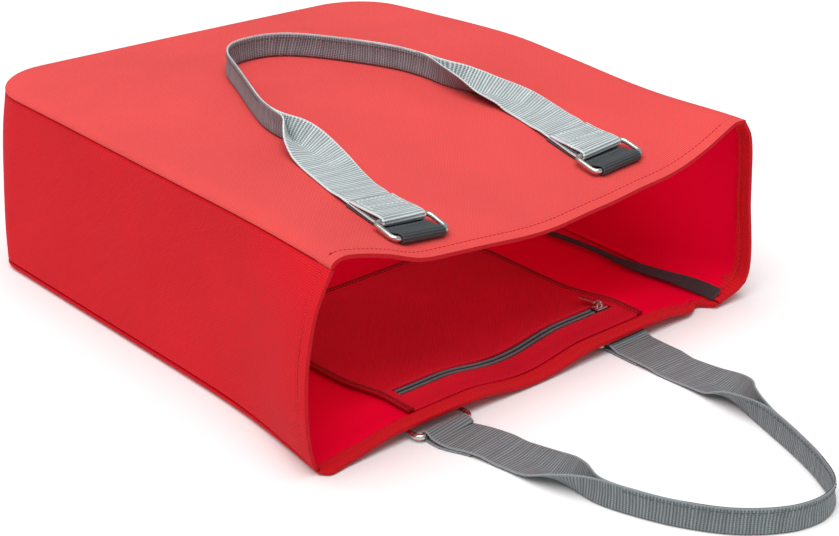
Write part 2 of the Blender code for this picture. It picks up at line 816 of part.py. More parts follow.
def web_section(outer, inner):
    """Places across a web whose two halves stand up: (toward the outside, up) pairs."""
    points = []
    for sign, angle in ((1, outer), (-1, inner)):
        rise = max(math.radians(angle), 1e-4)
        radius = WEB_BEND / rise
        arm = []
        for share in (0.33, 1.0):
            turn = rise * share
            arm.append((sign * radius * math.sin(turn), radius * (1 - math.cos(turn))))
        rest = WEB_WIDTH / 2 - WEB_BEND
        tip = (arm[-1][0] + sign * rest * math.cos(rise), arm[-1][1] + rest * math.sin(rise))
        arm.append(tip)
        points = points + arm if sign == -1 else arm[::-1]
    return points


def handle_end(front):
    """Place along from the bar and height of a handle's end, from its cut end inward.

    The cut end of the front handle lies on top; that of the back handle lies underneath.
    """
    turn = [math.pi * i / 6 for i in range(7)]
    if front:
        path = returned_path(HANDLE_RETURN)[::-1]
        path += [(-FOLD_RADIUS * math.sin(t), FOLD_RADIUS * (1 + math.cos(t))) for t in turn]
        return path
    path = [((HANDLE_RETURN - FOLD_RADIUS) * share, 0.0) for share in (1.0, 0.5)]
    path += [(-FOLD_RADIUS * math.sin(t), FOLD_RADIUS * (1 - math.cos(t))) for t in turn]
    return path + returned_path(BACK_WEB_DROP)


def add_handle(name, front, rows, material):
    """Long web between two rings: flat at the ends, folded lengthwise to a grip between."""
    reach = FRONT_REACH if front else BACK_REACH
    way = 1 if front else -1
    folds = []
    for side in (LEFT, RIGHT):
        folds.append(ring_ends(side, front)[1][0] - way * FOLD_RADIUS)
    datum = folds[0] if front else 0.0
    middle = (tab_x(LEFT, front) + tab_x(RIGHT, front)) / 2
    spacing = tab_x(RIGHT, front) - tab_x(LEFT, front)
    straight = (0.0, 2.2 * FOLD_RADIUS, 4.4 * FOLD_RADIUS)
    line = [(tab_x(LEFT, front), folds[0] + way * along, 0.0, 0.0) for along in straight]
    for across, share, outer, inner in rows:
        line.append((middle + across * spacing, datum + way * share * reach, outer, inner))
    line += [(tab_x(RIGHT, front), folds[1] + way * along, 0.0, 0.0) for along in straight[::-1]]
    keyed, length = [], 0.0
    for i, row in enumerate(line):
        if i:
            length += math.hypot(row[0] - line[i - 1][0], row[1] - line[i - 1][1])
        keyed.append((length,) + row)

    def frame_at(s):
        x, a = eased(keyed, 1, s), eased(keyed, 2, s)
        low, high = max(s - 0.002, 0), min(s + 0.002, length)
        dx = eased(keyed, 1, high) - eased(keyed, 1, low)
        da = eased(keyed, 2, high) - eased(keyed, 2, low)
        size = math.hypot(dx, da)
        return x, a, -way * da / size, way * dx / size

    end_path = handle_end(front)
    stations = [(along + FOLD_RADIUS, rise) for along, rise in end_path]
    first = stations[-1][0]
    spread = (length - 2 * first) / HANDLE_STATIONS
    low = 0.0 if front else LAYER_STEP
    for i in range(1, HANDLE_STATIONS):
        s = first + spread * i
        from_end = min(s, length - s)
        stations.append((s, low * (1 - step((from_end - HANDLE_RETURN - 0.008) / 0.016))))
    stations += [(length - along - FOLD_RADIUS, rise) for along, rise in end_path[::-1]]

    work = bmesh.new()
    grid = []
    for s, rise in stations:
        x, a, bx, ba = frame_at(s)
        section = web_section(eased(keyed, 3, s), eased(keyed, 4, s))
        side = LEFT if s < length / 2 else RIGHT
        from_end = min(s, length - s)
        row = []
        for out, up in section:
            px, pa = x + bx * out, a + ba * out
            if front:
                over_tab = LAYER_STEP * (1 - step((from_end - 0.044) / 0.016))
                blend = step((from_end - 0.045) / 0.030)
                bar = ring_ends(side, front)[1][0]
                bed = front_bed(side, px, pa, bar) * (1 - blend) + front_top(px, pa) * blend
                if up > 0.001:
                    bed = front_top(x, a)
                z = max(bed + up, front_top(px, pa)) + TAB_HEIGHT + over_tab + rise
            else:
                z = WEB_THICKNESS / 2 + 0.0001 + rise + up
            row.append(work.verts.new((px, MOUTH_Y + pa, z)))
        grid.append(row)
    grid_faces(work, grid)
    bmesh.ops.recalc_face_normals(work, faces=work.faces)
    obj = new_object(name, work, material, 60.0)
    thicken(obj, WEB_THICKNESS, offset=0.0)
    return obj


def make_material(name, colour, roughness, metallic=0.0):
    """Plain surface from an sRGB colour written as hex."""
    material = bpy.data.materials.new(name)
    material.use_nodes = True
    values = []
    for start in (0, 2, 4):
        level = int(colour[start:start + 2], 16) / 255
        values.append(level / 12.92 if level <= 0.04045 else ((level + 0.055) / 1.055) ** 2.4)
    surface = material.node_tree.nodes["Principled BSDF"]
    surface.inputs["Base Color"].default_value = (values[0], values[1], values[2], 1.0)
    surface.inputs["Roughness"].default_value = roughness
    surface.inputs["Metallic"].default_value = metallic
    return material


helpers = bpy.data.collections.new("weld_helpers")
bpy.context.scene.collection.children.link(parts)
bpy.context.scene.collection.children.link(helpers)
helpers.hide_render = True

canvas = make_material("red_polyester_canvas", "E8343F", 0.85)
side_canvas = make_material("red_polyester_gusset", "D32A36", 0.85)
floor_canvas = make_material("red_polyester_back", "C8202C", 0.85)
pocket_cloth = make_material("crimson_pocket_cloth", "A80F20", 0.8)
binding_tape = make_material("black_seam_binding", "3A3034", 0.8)
zip_cloth = make_material("grey_zip_tape", "5A5F60", 0.8)
zip_teeth = make_material("black_nylon_coil", "191B1D", 0.45)
slider_metal = make_material("nickel_zip_slider", "B9BCBD", 0.3, 1.0)
pull_metal = make_material("nickel_zip_pull", "C4C7C8", 0.3, 1.0)
grip_web = make_material("blue_grey_webbing", "A4B0B5", 0.8)
tab_web = make_material("slate_grey_webbing", "56626A", 0.8)
ring_metal = make_material("nickel_plated_steel", "C9CCCD", 0.25, 1.0)

panel("front_panel", FRONT_CORNER_RADIUS, SHOULDER_WIDTH, SHOULDER_ROWS, 1.0, front_top,
      front_seam, even_columns(18), canvas, Vector((0, 0, 1)))
panel("back_panel", BACK_CORNER_RADIUS, HEEL_WIDTH, HEEL_ROWS, 0.0, back_lift, back_seam,
      back_columns(), floor_canvas, Vector((0, 0, -1)))
add_gusset(side_canvas)
add_binding("binding_back", 1, 0.0, binding_tape)
add_binding("binding_front", len(GUSSET_LEVELS) - 3, 1.0, binding_tape)
add_pocket(pocket_cloth)
add_zip_tape(zip_cloth)
add_zip_coil(zip_teeth)
add_slider(slider_metal)
add_pull(pull_metal)
for face, front in (("front", True), ("back", False)):
    for hand, side in (("left", LEFT), ("right", RIGHT)):
        add_tab("tab_" + face + "_" + hand, side, front, tab_web)
        add_ring("ring_" + face + "_" + hand, side, front, ring_metal)
add_handle("handle_front", True, FRONT_HANDLE_ROWS, grip_web)
add_handle("handle_back", False, BACK_HANDLE_ROWS, grip_web)
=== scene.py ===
"""Dressed model of an open shopper bag lying on its back panel.

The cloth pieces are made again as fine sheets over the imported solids, with their hems, weave and
stitches. Units are metres, +Z is up, the mouth looks toward -Y.
"""
import math
import bpy
import bmesh
from bpy.props import FloatProperty, FloatVectorProperty, PointerProperty
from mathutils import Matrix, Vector, noise


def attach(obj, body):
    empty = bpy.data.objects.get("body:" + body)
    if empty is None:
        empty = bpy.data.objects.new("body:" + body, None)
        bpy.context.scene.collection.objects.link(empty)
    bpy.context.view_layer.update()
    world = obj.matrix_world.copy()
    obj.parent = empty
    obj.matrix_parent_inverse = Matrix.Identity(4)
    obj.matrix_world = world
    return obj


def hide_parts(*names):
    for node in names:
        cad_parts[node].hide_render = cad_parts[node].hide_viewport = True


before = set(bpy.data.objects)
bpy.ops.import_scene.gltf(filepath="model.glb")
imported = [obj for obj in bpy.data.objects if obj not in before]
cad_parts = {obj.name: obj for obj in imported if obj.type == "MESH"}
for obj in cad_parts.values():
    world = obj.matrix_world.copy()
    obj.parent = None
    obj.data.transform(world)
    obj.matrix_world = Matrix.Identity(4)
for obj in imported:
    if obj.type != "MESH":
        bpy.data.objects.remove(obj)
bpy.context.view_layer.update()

bl_info = {
    "name": "Shopper bag",
    "version": (1, 0, 0),
    "blender": (4, 5, 0),
    "location": "3D View > Sidebar > Bag",
    "description": "Cloth, webbing, metal and stage of an open shopper bag",
    "category": "Add Mesh",
}

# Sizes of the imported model, in metres
BAG_WIDTH = 0.382
BAG_HEIGHT = 0.435
BAG_DEPTH = 0.152
CLOTH = 0.0015
SEAM_GAP = 0.0003
FRONT_CORNER_RADIUS = 0.052
BACK_CORNER_RADIUS = 0.026
SHOULDER_WIDTH = 0.011
SHOULDER_RISE = 0.0065
HEEL_WIDTH = 0.006
HEEL_RISE = 0.005
HEM_WIDTH = 0.012
MOUTH_SAG = 0.030
SAG_REACH = 0.14
LIP_DROOP = 0.005
DROOP_REACH = 0.016
MOUTH_BOW = 0.026
BOW_REACH = 0.075
FRONT_CROWN = 0.006
BASE_BULGE = 0.005
TAB_LIFT = 0.0088
LIFT_FLAT_WIDTH = 0.066
LIFT_FLAT_LENGTH = 0.034
LIFT_SPREAD = 0.040
LIFT_REACH = 0.040
BINDING_INSET = 0.006
BINDING_WIDTH = 0.056
BINDING_THICKNESS = 0.0022
POCKET_WIDTH = 0.231
POCKET_SHIFT = -0.001
POCKET_START = 0.0135
POCKET_END = 0.2115
POCKET_CORNER_RADIUS = 0.036
POCKET_CLOTH = 0.0012
POCKET_BAND = 0.009
POCKET_GAP = 0.0005
ZIP_FROM_MOUTH = 0.040
ZIP_OPENING = 0.011
ZIP_END_MARGIN = 0.011
ZIP_TAPE_WIDTH = 0.022
ZIP_TAPE_THICKNESS = 0.0010
COIL_WIDTH = 0.0048
COIL_HEIGHT = 0.0016
SLIDER_FROM_EDGE = 0.0190
SLIDER_LENGTH = 0.0110
WEB_WIDTH = 0.038
WEB_THICKNESS = 0.0015
LAYER_GAP = 0.0003
FACE_GAP = 0.00045
TAB_SPACING = 0.196
TAB_SHIFT = -0.002
BACK_TAB_SPACING = 0.187
BACK_TAB_SHIFT = -0.007
TAB_FROM_MOUTH_LEFT = 0.0155
TAB_FROM_MOUTH_RIGHT = 0.0230
TAB_LENGTH = 0.060
BACK_TAB_SHARE = 0.75
TAB_RETURN = 0.0195
RING_WIRE = 0.004
RING_BAR_SPACING = 0.021
RING_INNER_WIDTH = 0.044
RING_CORNER_RADIUS = 0.0045
BACK_BAR_LEFT = 0.014
BACK_BAR_RIGHT = 0.028
HANDLE_RETURN = 0.036
BACK_WEB_DROP = 0.018
FRONT_REACH = 0.286
BACK_REACH = 0.249
WEB_BEND = 0.0022
GRIP_CLOSING = 0.0013

# How finely the cloth is drawn
HEM_STEPS = (0.0, 0.001, 0.003, 0.0052, 0.0070, 0.0079, 0.0088, 0.0097, 0.0106, 0.012, 0.0126)
HEM_STITCH = 0.0088
HEM_DENT = 0.0006
HEM_DENT_REACH = 0.0010
HEM_EASE = 0.004
PULL_REACH = 0.022
SIDE_SEAM_X = 0.19
LEG_STEPS = 88
CORNER_STEPS = 14
PANEL_COLUMNS = 100
ROLL_STEPS = 14
FOLD_STEPS = 14
BASE_COLUMNS = 84
HANDLE_STATIONS = 330
RIB_LAG = 0.050
GRIP_START = 0.30
GRIP_END = 0.72
STITCH_SIDES = 6
STITCH_PITCH = 1.28
COIL_PITCH = 0.0014
POCKET_STEP = 0.0031
POCKET_NEAR = 0.0007
BAND_STEP = 0.0008
SEAM_GROOVE = 0.0022

# The stage, with the camera fitted to the photographed view
FLOOR_SIZE = 9.0
FLOOR_DROP = 0.0004
CAMERA_PLACE = (-0.9338, -1.1585, 0.7240)
CAMERA_TARGET = (-0.0393, -0.1265, 0.07)
CAMERA_LENS = 90.15

SEAM_ROWS = (
    # share of bag height, left side, right side
    (0.00, 0.985, 0.975),
    (0.18, 1.000, 0.970),
    (0.40, 1.000, 0.990),
    (0.55, 1.000, 0.995),
    (0.80, 1.000, 0.940),
    (1.00, 0.995, 0.885),
)
LIP_ROWS = (
    # share of width, drop
    (0.00, 0.00),
    (0.04, 0.02),
    (0.12, 0.28),
    (0.19, 0.60),
    (0.26, 0.73),
    (0.33, 0.82),
    (0.48, 1.00),
    (0.62, 0.93),
    (0.71, 0.84),
    (0.81, 0.74),
    (0.89, 0.50),
    (0.96, 0.18),
    (1.00, 0.04),
)
BOW_ROWS = (
    # share of depth, left side, right side
    (0.00, 0.44, -0.30),
    (0.04, 0.60, 0.36),
    (0.07, 0.67, 0.70),
    (0.13, 0.81, 0.90),
    (0.25, 0.94, 1.00),
    (0.40, 0.97, 1.00),
    (0.55, 0.93, 0.96),
    (0.70, 0.78, 0.91),
    (0.82, 0.58, 0.86),
    (0.92, 0.30, 0.74),
    (1.00, 0.04, 0.46),
)
SHOULDER_ROWS = (
    # place along the roll, share of the edge's width, share of its height
    (0.00, 0.00, 0.00),
    (0.30, 0.42, 0.08),
    (0.55, 0.76, 0.28),
    (0.78, 0.97, 0.60),
    (0.90, 1.00, 0.82),
    (0.96, 0.97, 0.94),
    (1.00, 0.86, 1.00),
)
HEEL_ROWS = (
    # place along the roll, share of the edge's width, share of its height
    (0.00, 0.00, 0.00),
    (0.40, 0.50, 0.10),
    (0.75, 0.96, 0.58),
    (0.92, 0.98, 0.88),
    (1.00, 0.80, 1.00),
)
FRONT_HANDLE_ROWS = (
    # across, reach, outer half, inner half
    (-0.497, 0.091, 0.0, 0.0),
    (-0.492, 0.168, 0.0, 1.0),
    (-0.472, 0.276, 0.0, 5.0),
    (-0.457, 0.364, 5.0, 18.0),
    (-0.455, 0.430, 36.0, 46.0),
    (-0.462, 0.480, 80.0, 80.0),
    (-0.468, 0.530, 89.0, 89.0),
    (-0.454, 0.591, 90.0, 90.0),
    (-0.403, 0.685, 90.0, 90.0),
    (-0.316, 0.825, 90.0, 90.0),
    (-0.245, 0.930, 90.0, 90.0),
    (-0.168, 0.986, 90.0, 90.0),
    (-0.077, 1.000, 90.0, 90.0),
    (0.025, 0.983, 90.0, 90.0),
    (0.107, 0.930, 90.0, 90.0),
    (0.204, 0.797, 90.0, 90.0),
    (0.286, 0.661, 90.0, 90.0),
    (0.327, 0.573, 88.0, 88.0),
    (0.352, 0.503, 74.0, 70.0),
    (0.423, 0.427, 38.0, 26.0),
    (0.490, 0.346, 18.0, 5.0),
    (0.510, 0.259, 6.0, 0.0),
    (0.506, 0.171, 2.0, 0.0),
    (0.502, 0.091, 0.0, 0.0),
)
BACK_HANDLE_ROWS = (
    # across, reach, outer half, inner half
    (-0.460, 0.141, 0.0, 0.0),
    (-0.433, 0.241, 2.0, 4.0),
    (-0.418, 0.353, 10.0, 20.0),
    (-0.423, 0.462, 50.0, 58.0),
    (-0.427, 0.562, 86.0, 86.0),
    (-0.384, 0.675, 90.0, 90.0),
    (-0.320, 0.783, 90.0, 90.0),
    (-0.213, 0.896, 90.0, 90.0),
    (-0.064, 0.976, 90.0, 90.0),
    (0.074, 0.996, 90.0, 90.0),
    (0.182, 0.964, 90.0, 90.0),
    (0.268, 0.867, 90.0, 90.0),
    (0.337, 0.743, 90.0, 90.0),
    (0.396, 0.610, 88.0, 88.0),
    (0.449, 0.490, 70.0, 58.0),
    (0.497, 0.394, 32.0, 16.0),
    (0.508, 0.297, 8.0, 4.0),
    (0.503, 0.193, 0.0, 0.0),
    (0.500, 0.110, 0.0, 0.0),
)
OVER_BAR_ROWS = (
    # along, height
    (0.00, 1.00),
    (0.12, 0.97),
    (0.35, 0.70),
    (0.60, 0.36),
    (0.82, 0.10),
    (1.00, 0.00),
)

# How far the mouth's edge is pulled back at the lower corners, in metres
GUSSET_PULL_ROWS = (
    # share of depth, left side, right side
    (0.00, 0.0062, -0.0030),
    (0.05, 0.0050, -0.0045),
    (0.12, 0.0022, -0.0042),
    (0.24, 0.0000, -0.0030),
    (0.50, 0.0000, 0.0000),
)
BACK_PULL_ROWS = (
    # place across the bag, pull
    (-0.2050, 0.0075),
    (-0.2005, 0.0030),
    (-0.1960, -0.0010),
    (-0.1800, 0.0000),
    (0.1520, 0.0000),
    (0.1630, 0.0042),
    (0.1695, 0.0080),
    (0.1745, 0.0050),
    (0.1790, 0.0000),
    (0.1830, -0.0030),
)
# The right half of the back seam's tape, which tips over from the wall onto the floor
TAPE_ROWS = (
    # along, inner edge across and up, outer edge across and up
    (0.000, 0.1810, 0.0056, 0.1886, 0.0137),
    (0.014, 0.1810, 0.0056, 0.1888, 0.0134),
    (0.030, 0.1800, 0.0056, 0.1878, 0.0126),
    (0.053, 0.1784, 0.0055, 0.1850, 0.0108),
    (0.075, 0.1750, 0.0053, 0.1822, 0.0090),
    (0.093, 0.1736, 0.0052, 0.1790, 0.0076),
    (0.115, 0.1750, 0.0054, 0.1788, 0.0074),
    (0.139, 0.1745, 0.0053, 0.1780, 0.0070),
    (0.177, 0.1712, 0.0052, 0.1750, 0.0070),
    (0.240, 0.1735, 0.0052, 0.1800, 0.0085),
    (0.300, 0.1760, 0.0056, 0.1840, 0.0110),
)

LEFT = -1
RIGHT = 1
MOUTH_Y = -BAG_HEIGHT / 2
FOLD_RADIUS = RING_WIRE / 2 + LAYER_GAP + WEB_THICKNESS / 2
LAYER_STEP = WEB_THICKNESS + LAYER_GAP
TAB_HEIGHT = FACE_GAP + WEB_THICKNESS / 2
UP = Vector((0, 0, 1))
# The four ends of the handles, as name, side and whether it is the front one
CORNERS = (
    ("front_left", LEFT, True),
    ("front_right", RIGHT, True),
    ("back_left", LEFT, False),
    ("back_right", RIGHT, False),
)


def linear(code):
    """Linear colour of an sRGB hex value."""
    values = []
    for start in (0, 2, 4):
        level = int(code[start:start + 2], 16) / 255
        values.append(level / 12.92 if level <= 0.04045 else ((level + 0.055) / 1.055) ** 2.4)
    return tuple(values)


# Forms of the settled bag


def eased(rows, column, at):
    """Value of a table's column at a place along its first column, by smooth steps."""
    if at <= rows[0][0]:
        return rows[0][column]
    if at >= rows[-1][0]:
        return rows[-1][column]
    last = len(rows) - 1
    i = 0
    while rows[i + 1][0] < at:
        i += 1

    def slope(k):
        low, high = max(k - 1, 0), min(k + 1, last)
        return (rows[high][column] - rows[low][column]) / (rows[high][0] - rows[low][0])

    span = rows[i + 1][0] - rows[i][0]
    t = (at - rows[i][0]) / span
    start, end = rows[i][column], rows[i + 1][column]
    return (
        start * (1 + 2 * t) * (1 - t) ** 2
        + end * t * t * (3 - 2 * t)
        + slope(i) * span * t * (1 - t) ** 2
        - slope(i + 1) * span * t * t * (1 - t)
    )


def fade(distance, reach):
    """Bell that is 1 at no distance and falls off over the reach."""
    return math.exp(-((distance / reach) ** 2))


def step(value):
    """Smooth step from 0 to 1."""
    t = min(max(value, 0.0), 1.0)
    return t * t * (3 - 2 * t)


def ripple(u, v, seed, size, height):
    """Soft unevenness of cloth, with waves of about the given size."""
    return height * noise.noise(Vector((u / size, v / size, seed)))


def hem_dent(along):
    """Depth to which the hem's stitches pull the cloth in."""
    return HEM_DENT * fade(along - HEM_STITCH, HEM_DENT_REACH)


def back_pull(x, along):
    """How far the back panel's lip is pulled back toward the base."""
    return eased(BACK_PULL_ROWS, 1, x) * fade(along, PULL_REACH)


def no_pull(x, along):
    return 0.0


def gusset_pull(side, along, level):
    column = 1 if side == LEFT else 2
    return eased(GUSSET_PULL_ROWS, column, level) * fade(along, PULL_REACH)


def tab_x(side, front):
    if front:
        return side * TAB_SPACING / 2 + TAB_SHIFT
    return side * BACK_TAB_SPACING / 2 + BACK_TAB_SHIFT


def side_x(side, along, level):
    """Place of the gusset across the bag, bowed out at the mouth."""
    column = 1 if side == LEFT else 2
    bow = MOUTH_BOW * eased(BOW_ROWS, column, level) * fade(along, BOW_REACH)
    return side * (BAG_WIDTH / 2 + bow) + hem_dent(along)


def seam_height(x, along):
    """Height of the front seam, blended across the width between its two sides."""
    share = along / BAG_HEIGHT
    across = x / BAG_WIDTH + 0.5
    left, right = eased(SEAM_ROWS, 1, share), eased(SEAM_ROWS, 2, share)
    return BAG_DEPTH * (left + (right - left) * across)


def front_top(x, along):
    """Height of the front panel's outer face inside its rolled shoulder."""
    left, right = side_x(LEFT, along, 1), side_x(RIGHT, along, 1)
    across = min(max((x - left) / (right - left), 0), 1)
    droop = LIP_DROOP * fade(along, DROOP_REACH)
    drop = (MOUTH_SAG * fade(along, SAG_REACH) + droop) * eased(LIP_ROWS, 1, across)
    crown = FRONT_CROWN * math.sin(math.pi * across) * math.sin(math.pi * along / BAG_HEIGHT)
    inside = step(min(across, 1 - across) * 9) * step((BAG_HEIGHT - along) / 0.05)
    height = context_cloth().ripple_height
    waves = ripple(x, along, 3.1, 0.085, height) + ripple(x, along, 7.4, 0.034, height * 0.3)
    height = seam_height(x, along) + SHOULDER_RISE + crown - drop + waves * inside
    return height - hem_dent(along)


def back_lift(x, along):
    """How far the back panel stands off the floor over the tabs and rings below it."""
    beyond = max(along - LIFT_FLAT_LENGTH, 0)
    total = 0.0
    for side in (LEFT, RIGHT):
        away = max(abs(x - tab_x(side, False)) - LIFT_FLAT_WIDTH / 2, 0)
        total += fade(away, LIFT_SPREAD)
    return TAB_LIFT * min(total, 1.0) * fade(beyond, LIFT_REACH) - 0.5 * hem_dent(along)


def back_seam(x, along):
    low_corner = 0.0030 * fade(along, 0.016) * step((abs(x) - 0.165) / 0.02)
    return HEEL_RISE - low_corner + back_lift(x, along)


def flank(side, corner_radius, inset, bow_level):
    """Stations down one side and round its base corner, each with its outward direction."""
    bend = BAG_HEIGHT - corner_radius
    rows = list(HEM_STEPS)
    rows += [rows[-1] + (bend - rows[-1]) * i / LEG_STEPS for i in range(1, LEG_STEPS)]
    stations = [(side_x(side, a, bow_level) - side * inset, a, side, 0.0) for a in rows]
    centre = side * (BAG_WIDTH / 2 - corner_radius)
    radius = corner_radius - inset
    for i in range(CORNER_STEPS + 1):
        turn = math.pi / 2 * i / CORNER_STEPS
        nx, ny = side * math.cos(turn), math.sin(turn)
        stations.append((centre + nx * radius, bend + ny * radius, nx, ny))
    return stations


# Mesh tools


def context_cloth():
    return bpy.context.scene.bag_cloth


def sheet_mesh(name, grids, materials, facing, skip=()):
    """Sheet from grids of (point, place on the cloth in metres), turned toward a direction."""
    work = bmesh.new()
    layer = work.loops.layers.uv.new("metres")
    for grid in grids:
        verts = [[work.verts.new(point) for point, place in row] for row in grid]
        for i in range(len(grid) - 1):
            for j in range(len(grid[i]) - 1):
                if (i, j) in skip:
                    continue
                cells = ((i, j), (i, j + 1), (i + 1, j + 1), (i + 1, j))
                face = work.faces.new([verts[r][c] for r, c in cells])
                for loop, (r, c) in zip(face.loops, cells):
                    loop[layer].uv = grid[r][c][1]
    bmesh.ops.remove_doubles(work, verts=work.verts, dist=3e-6)
    bmesh.ops.recalc_face_normals(work, faces=work.faces)
    total = sum(f.normal.dot(facing(f.calc_center_median())) * f.calc_area() for f in work.faces)
    if total < 0:
        bmesh.ops.reverse_faces(work, faces=work.faces)
    return finish_mesh(name, work, materials)


def finish_mesh(name, work, materials):
    """Object of a finished mesh, smooth but for its sharp corners."""
    mesh = bpy.data.meshes.new(name)
    work.to_mesh(mesh)
    work.free()
    mesh.shade_smooth()
    mesh.set_sharp_from_angle(angle=math.radians(50))
    for material in materials:
        mesh.materials.append(material)
    obj = bpy.data.objects.new(name, mesh)
    bpy.context.scene.collection.objects.link(obj)
    return obj


def thicken(obj, thickness, offset, doubled=(), lining=False):
    """Give a sheet its thickness; the listed vertices lie where the cloth is folded double."""
    solidify = obj.modifiers.new("Cloth", "SOLIDIFY")
    solidify.offset = offset
    solidify.thickness = thickness
    if doubled:
        solidify.thickness = 2 * thickness
        group = obj.vertex_groups.new(name="doubled")
        group.add(list(doubled), 1.0, "REPLACE")
        solidify.vertex_group = group.name
        solidify.thickness_vertex_group = 0.5
    if lining:
        solidify.material_offset = 1
        solidify.material_offset_rim = 4
    soften = obj.modifiers.new("Soft edges", "BEVEL")
    soften.width = 0.0005
    soften.segments = 2
    soften.limit_method = "ANGLE"
    soften.angle_limit = math.radians(60)


def mark_hem(obj):
    """Give the folded hem its own pair of materials and return its vertices."""
    edge = MOUTH_Y + HEM_WIDTH
    for face in obj.data.polygons:
        if face.center.y < edge:
            face.material_index = 2
    return [v.index for v in obj.data.vertices if v.co.y < edge + 2e-5]


def placed(obj, body, slot, *nodes):
    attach(obj, body)
    if nodes:
        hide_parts(*nodes)
    return obj


def sewn_face(name, corner_radius, edge_width, profile, level, top, seam, pull, facing,
              materials):
    """A long face: a grid inside a U-shaped edge that rolls over toward the gusset."""
    left = flank(LEFT, corner_radius, edge_width, level)
    right = flank(RIGHT, corner_radius, edge_width, level)
    grid = []
    for row_left, row_right in zip(left, right):
        start, end, a = row_left[0], row_right[0], row_left[1]
        row = []
        for i in range(PANEL_COLUMNS + 1):
            x = start + (end - start) * i / PANEL_COLUMNS
            row.append((Vector((x, MOUTH_Y + a + pull(x, a), top(x, a))), (x, a)))
        grid.append(row)
    base = [(p.x, BAG_HEIGHT - edge_width, 0.0, 1.0) for p, place in grid[-1][1:-1]]
    stations = left + base + right[::-1]
    roll = []
    for i in range(ROLL_STEPS + 1):
        width_share, height_share = (eased(profile, k, i / ROLL_STEPS) for k in (1, 2))
        ring = []
        for x, a, nx, ny in stations:
            closed = 1 - step((a - HEM_WIDTH) / HEM_EASE)
            width_now = width_share + (1 - width_share) * closed * step((i - 10) / 4)
            px, pa = x + nx * edge_width * width_now, a + ny * edge_width * width_now
            z = top(x, a) + (seam(px, pa) - top(x, a)) * height_share
            run = edge_width * (width_share + 0.5 * height_share)
            point = Vector((px, MOUTH_Y + pa + pull(px, a), z))
            ring.append((point, (x + nx * run, a + ny * run)))
        roll.append(ring)
    obj = sheet_mesh(name, [grid, roll], materials, facing)
    thicken(obj, CLOTH, -1.0, doubled=mark_hem(obj), lining=True)
    return obj


def gusset_ring(level, seam_level=None):
    """One ring of the gusset's outer face as (point, outward, length along the ring).

    With a seam level the ring stands straight over that seam, as the seam's allowance does.
    """
    radius = BACK_CORNER_RADIUS + (FRONT_CORNER_RADIUS - BACK_CORNER_RADIUS) * level
    bow_level = level if seam_level is None else seam_level
    left, right = flank(LEFT, radius, 0.0, bow_level), flank(RIGHT, radius, 0.0, bow_level)
    start, end = left[-1][0], right[-1][0]
    base = [(start + (end - start) * i / BASE_COLUMNS, BAG_HEIGHT, 0.0, 1.0)
            for i in range(1, BASE_COLUMNS)]
    from_seam = min(level, 1 - level) * BAG_DEPTH
    groove = SEAM_GROOVE * (1 - step(from_seam / 0.0024))
    height = context_cloth().ripple_height * step(from_seam / 0.03)
    ring, length, last = [], 0.0, None
    for x, a, nx, ny in left + base + right[::-1]:
        wave = ripple(length, level * BAG_DEPTH, 11.7, 0.075, height)
        closed = step((a - HEM_WIDTH) / HEM_EASE)
        out = BASE_BULGE * math.sin(math.pi * level) * ny - groove * closed + wave
        low = back_seam(x, a) + SEAM_GAP
        high = seam_height(x, a) - SEAM_GAP
        y = MOUTH_Y + a + gusset_pull(LEFT if x < 0 else RIGHT, a, level)
        point = Vector((x + nx * out, y + ny * out, low + (high - low) * level))
        if last is not None:
            length += (Vector((x, a)) - last).length
        last = Vector((x, a))
        ring.append((point, Vector((nx, ny, 0)), length))
    return ring


def back_inner(x, along):
    return CLOTH + back_lift(x, along)


def merged(places, near):
    """Sorted places without near doubles; the earlier listed one of two stays."""
    kept = []
    for place in places:
        if all(abs(place - other) > near for other in kept):
            kept.append(place)
    return sorted(kept)


def spread(low, high, spacing):
    count = max(round((high - low) / spacing), 1)
    return [low + (high - low) * i / count for i in range(count + 1)]


def lengths(points):
    """Length of a line of flat points up to each of them."""
    found = [0.0]
    for (x, y), (next_x, next_y) in zip(points, points[1:]):
        found.append(found[-1] + math.hypot(next_x - x, next_y - y))
    return found


def zip_top(x, along):
    return back_inner(x, along) + POCKET_GAP + ZIP_TAPE_THICKNESS + LAYER_GAP


def front_bed(side, x, along, bar):
    """Height of the straight line across a front tab's two borders, level close to the bar."""
    left = tab_x(side, True) - WEB_WIDTH / 2
    right = tab_x(side, True) + WEB_WIDTH / 2
    away = along - bar
    place = bar + away * step((abs(away) - FOLD_RADIUS) / (4 * FOLD_RADIUS))
    low, high = front_top(left, place), front_top(right, place)
    return low + (high - low) * (x - left) / WEB_WIDTH


def ring_ends(side, front):
    """The two bars of a ring: the tab's and the handle's, each as place along and height."""
    if front:
        tab_bar = FOLD_RADIUS + (TAB_FROM_MOUTH_LEFT if side == LEFT else TAB_FROM_MOUTH_RIGHT)
        web_bar = tab_bar + RING_BAR_SPACING
        heights = (TAB_HEIGHT + FOLD_RADIUS, TAB_HEIGHT + LAYER_STEP + FOLD_RADIUS)
    else:
        tab_bar = BACK_BAR_LEFT if side == LEFT else BACK_BAR_RIGHT
        web_bar = tab_bar - RING_BAR_SPACING
        heights = (TAB_LIFT - TAB_HEIGHT - FOLD_RADIUS, WEB_THICKNESS / 2 + FOLD_RADIUS)
    return (tab_bar, heights[0]), (web_bar, heights[1])


def round_bar(from_top=False):
    """Half turn of a web round a bar: its place along from the bar and its height."""
    turns = [math.pi * i / FOLD_STEPS for i in range(FOLD_STEPS + 1)]
    way = 1 if from_top else -1
    return [(-FOLD_RADIUS * math.sin(t), FOLD_RADIUS * (1 + way * math.cos(t))) for t in turns]


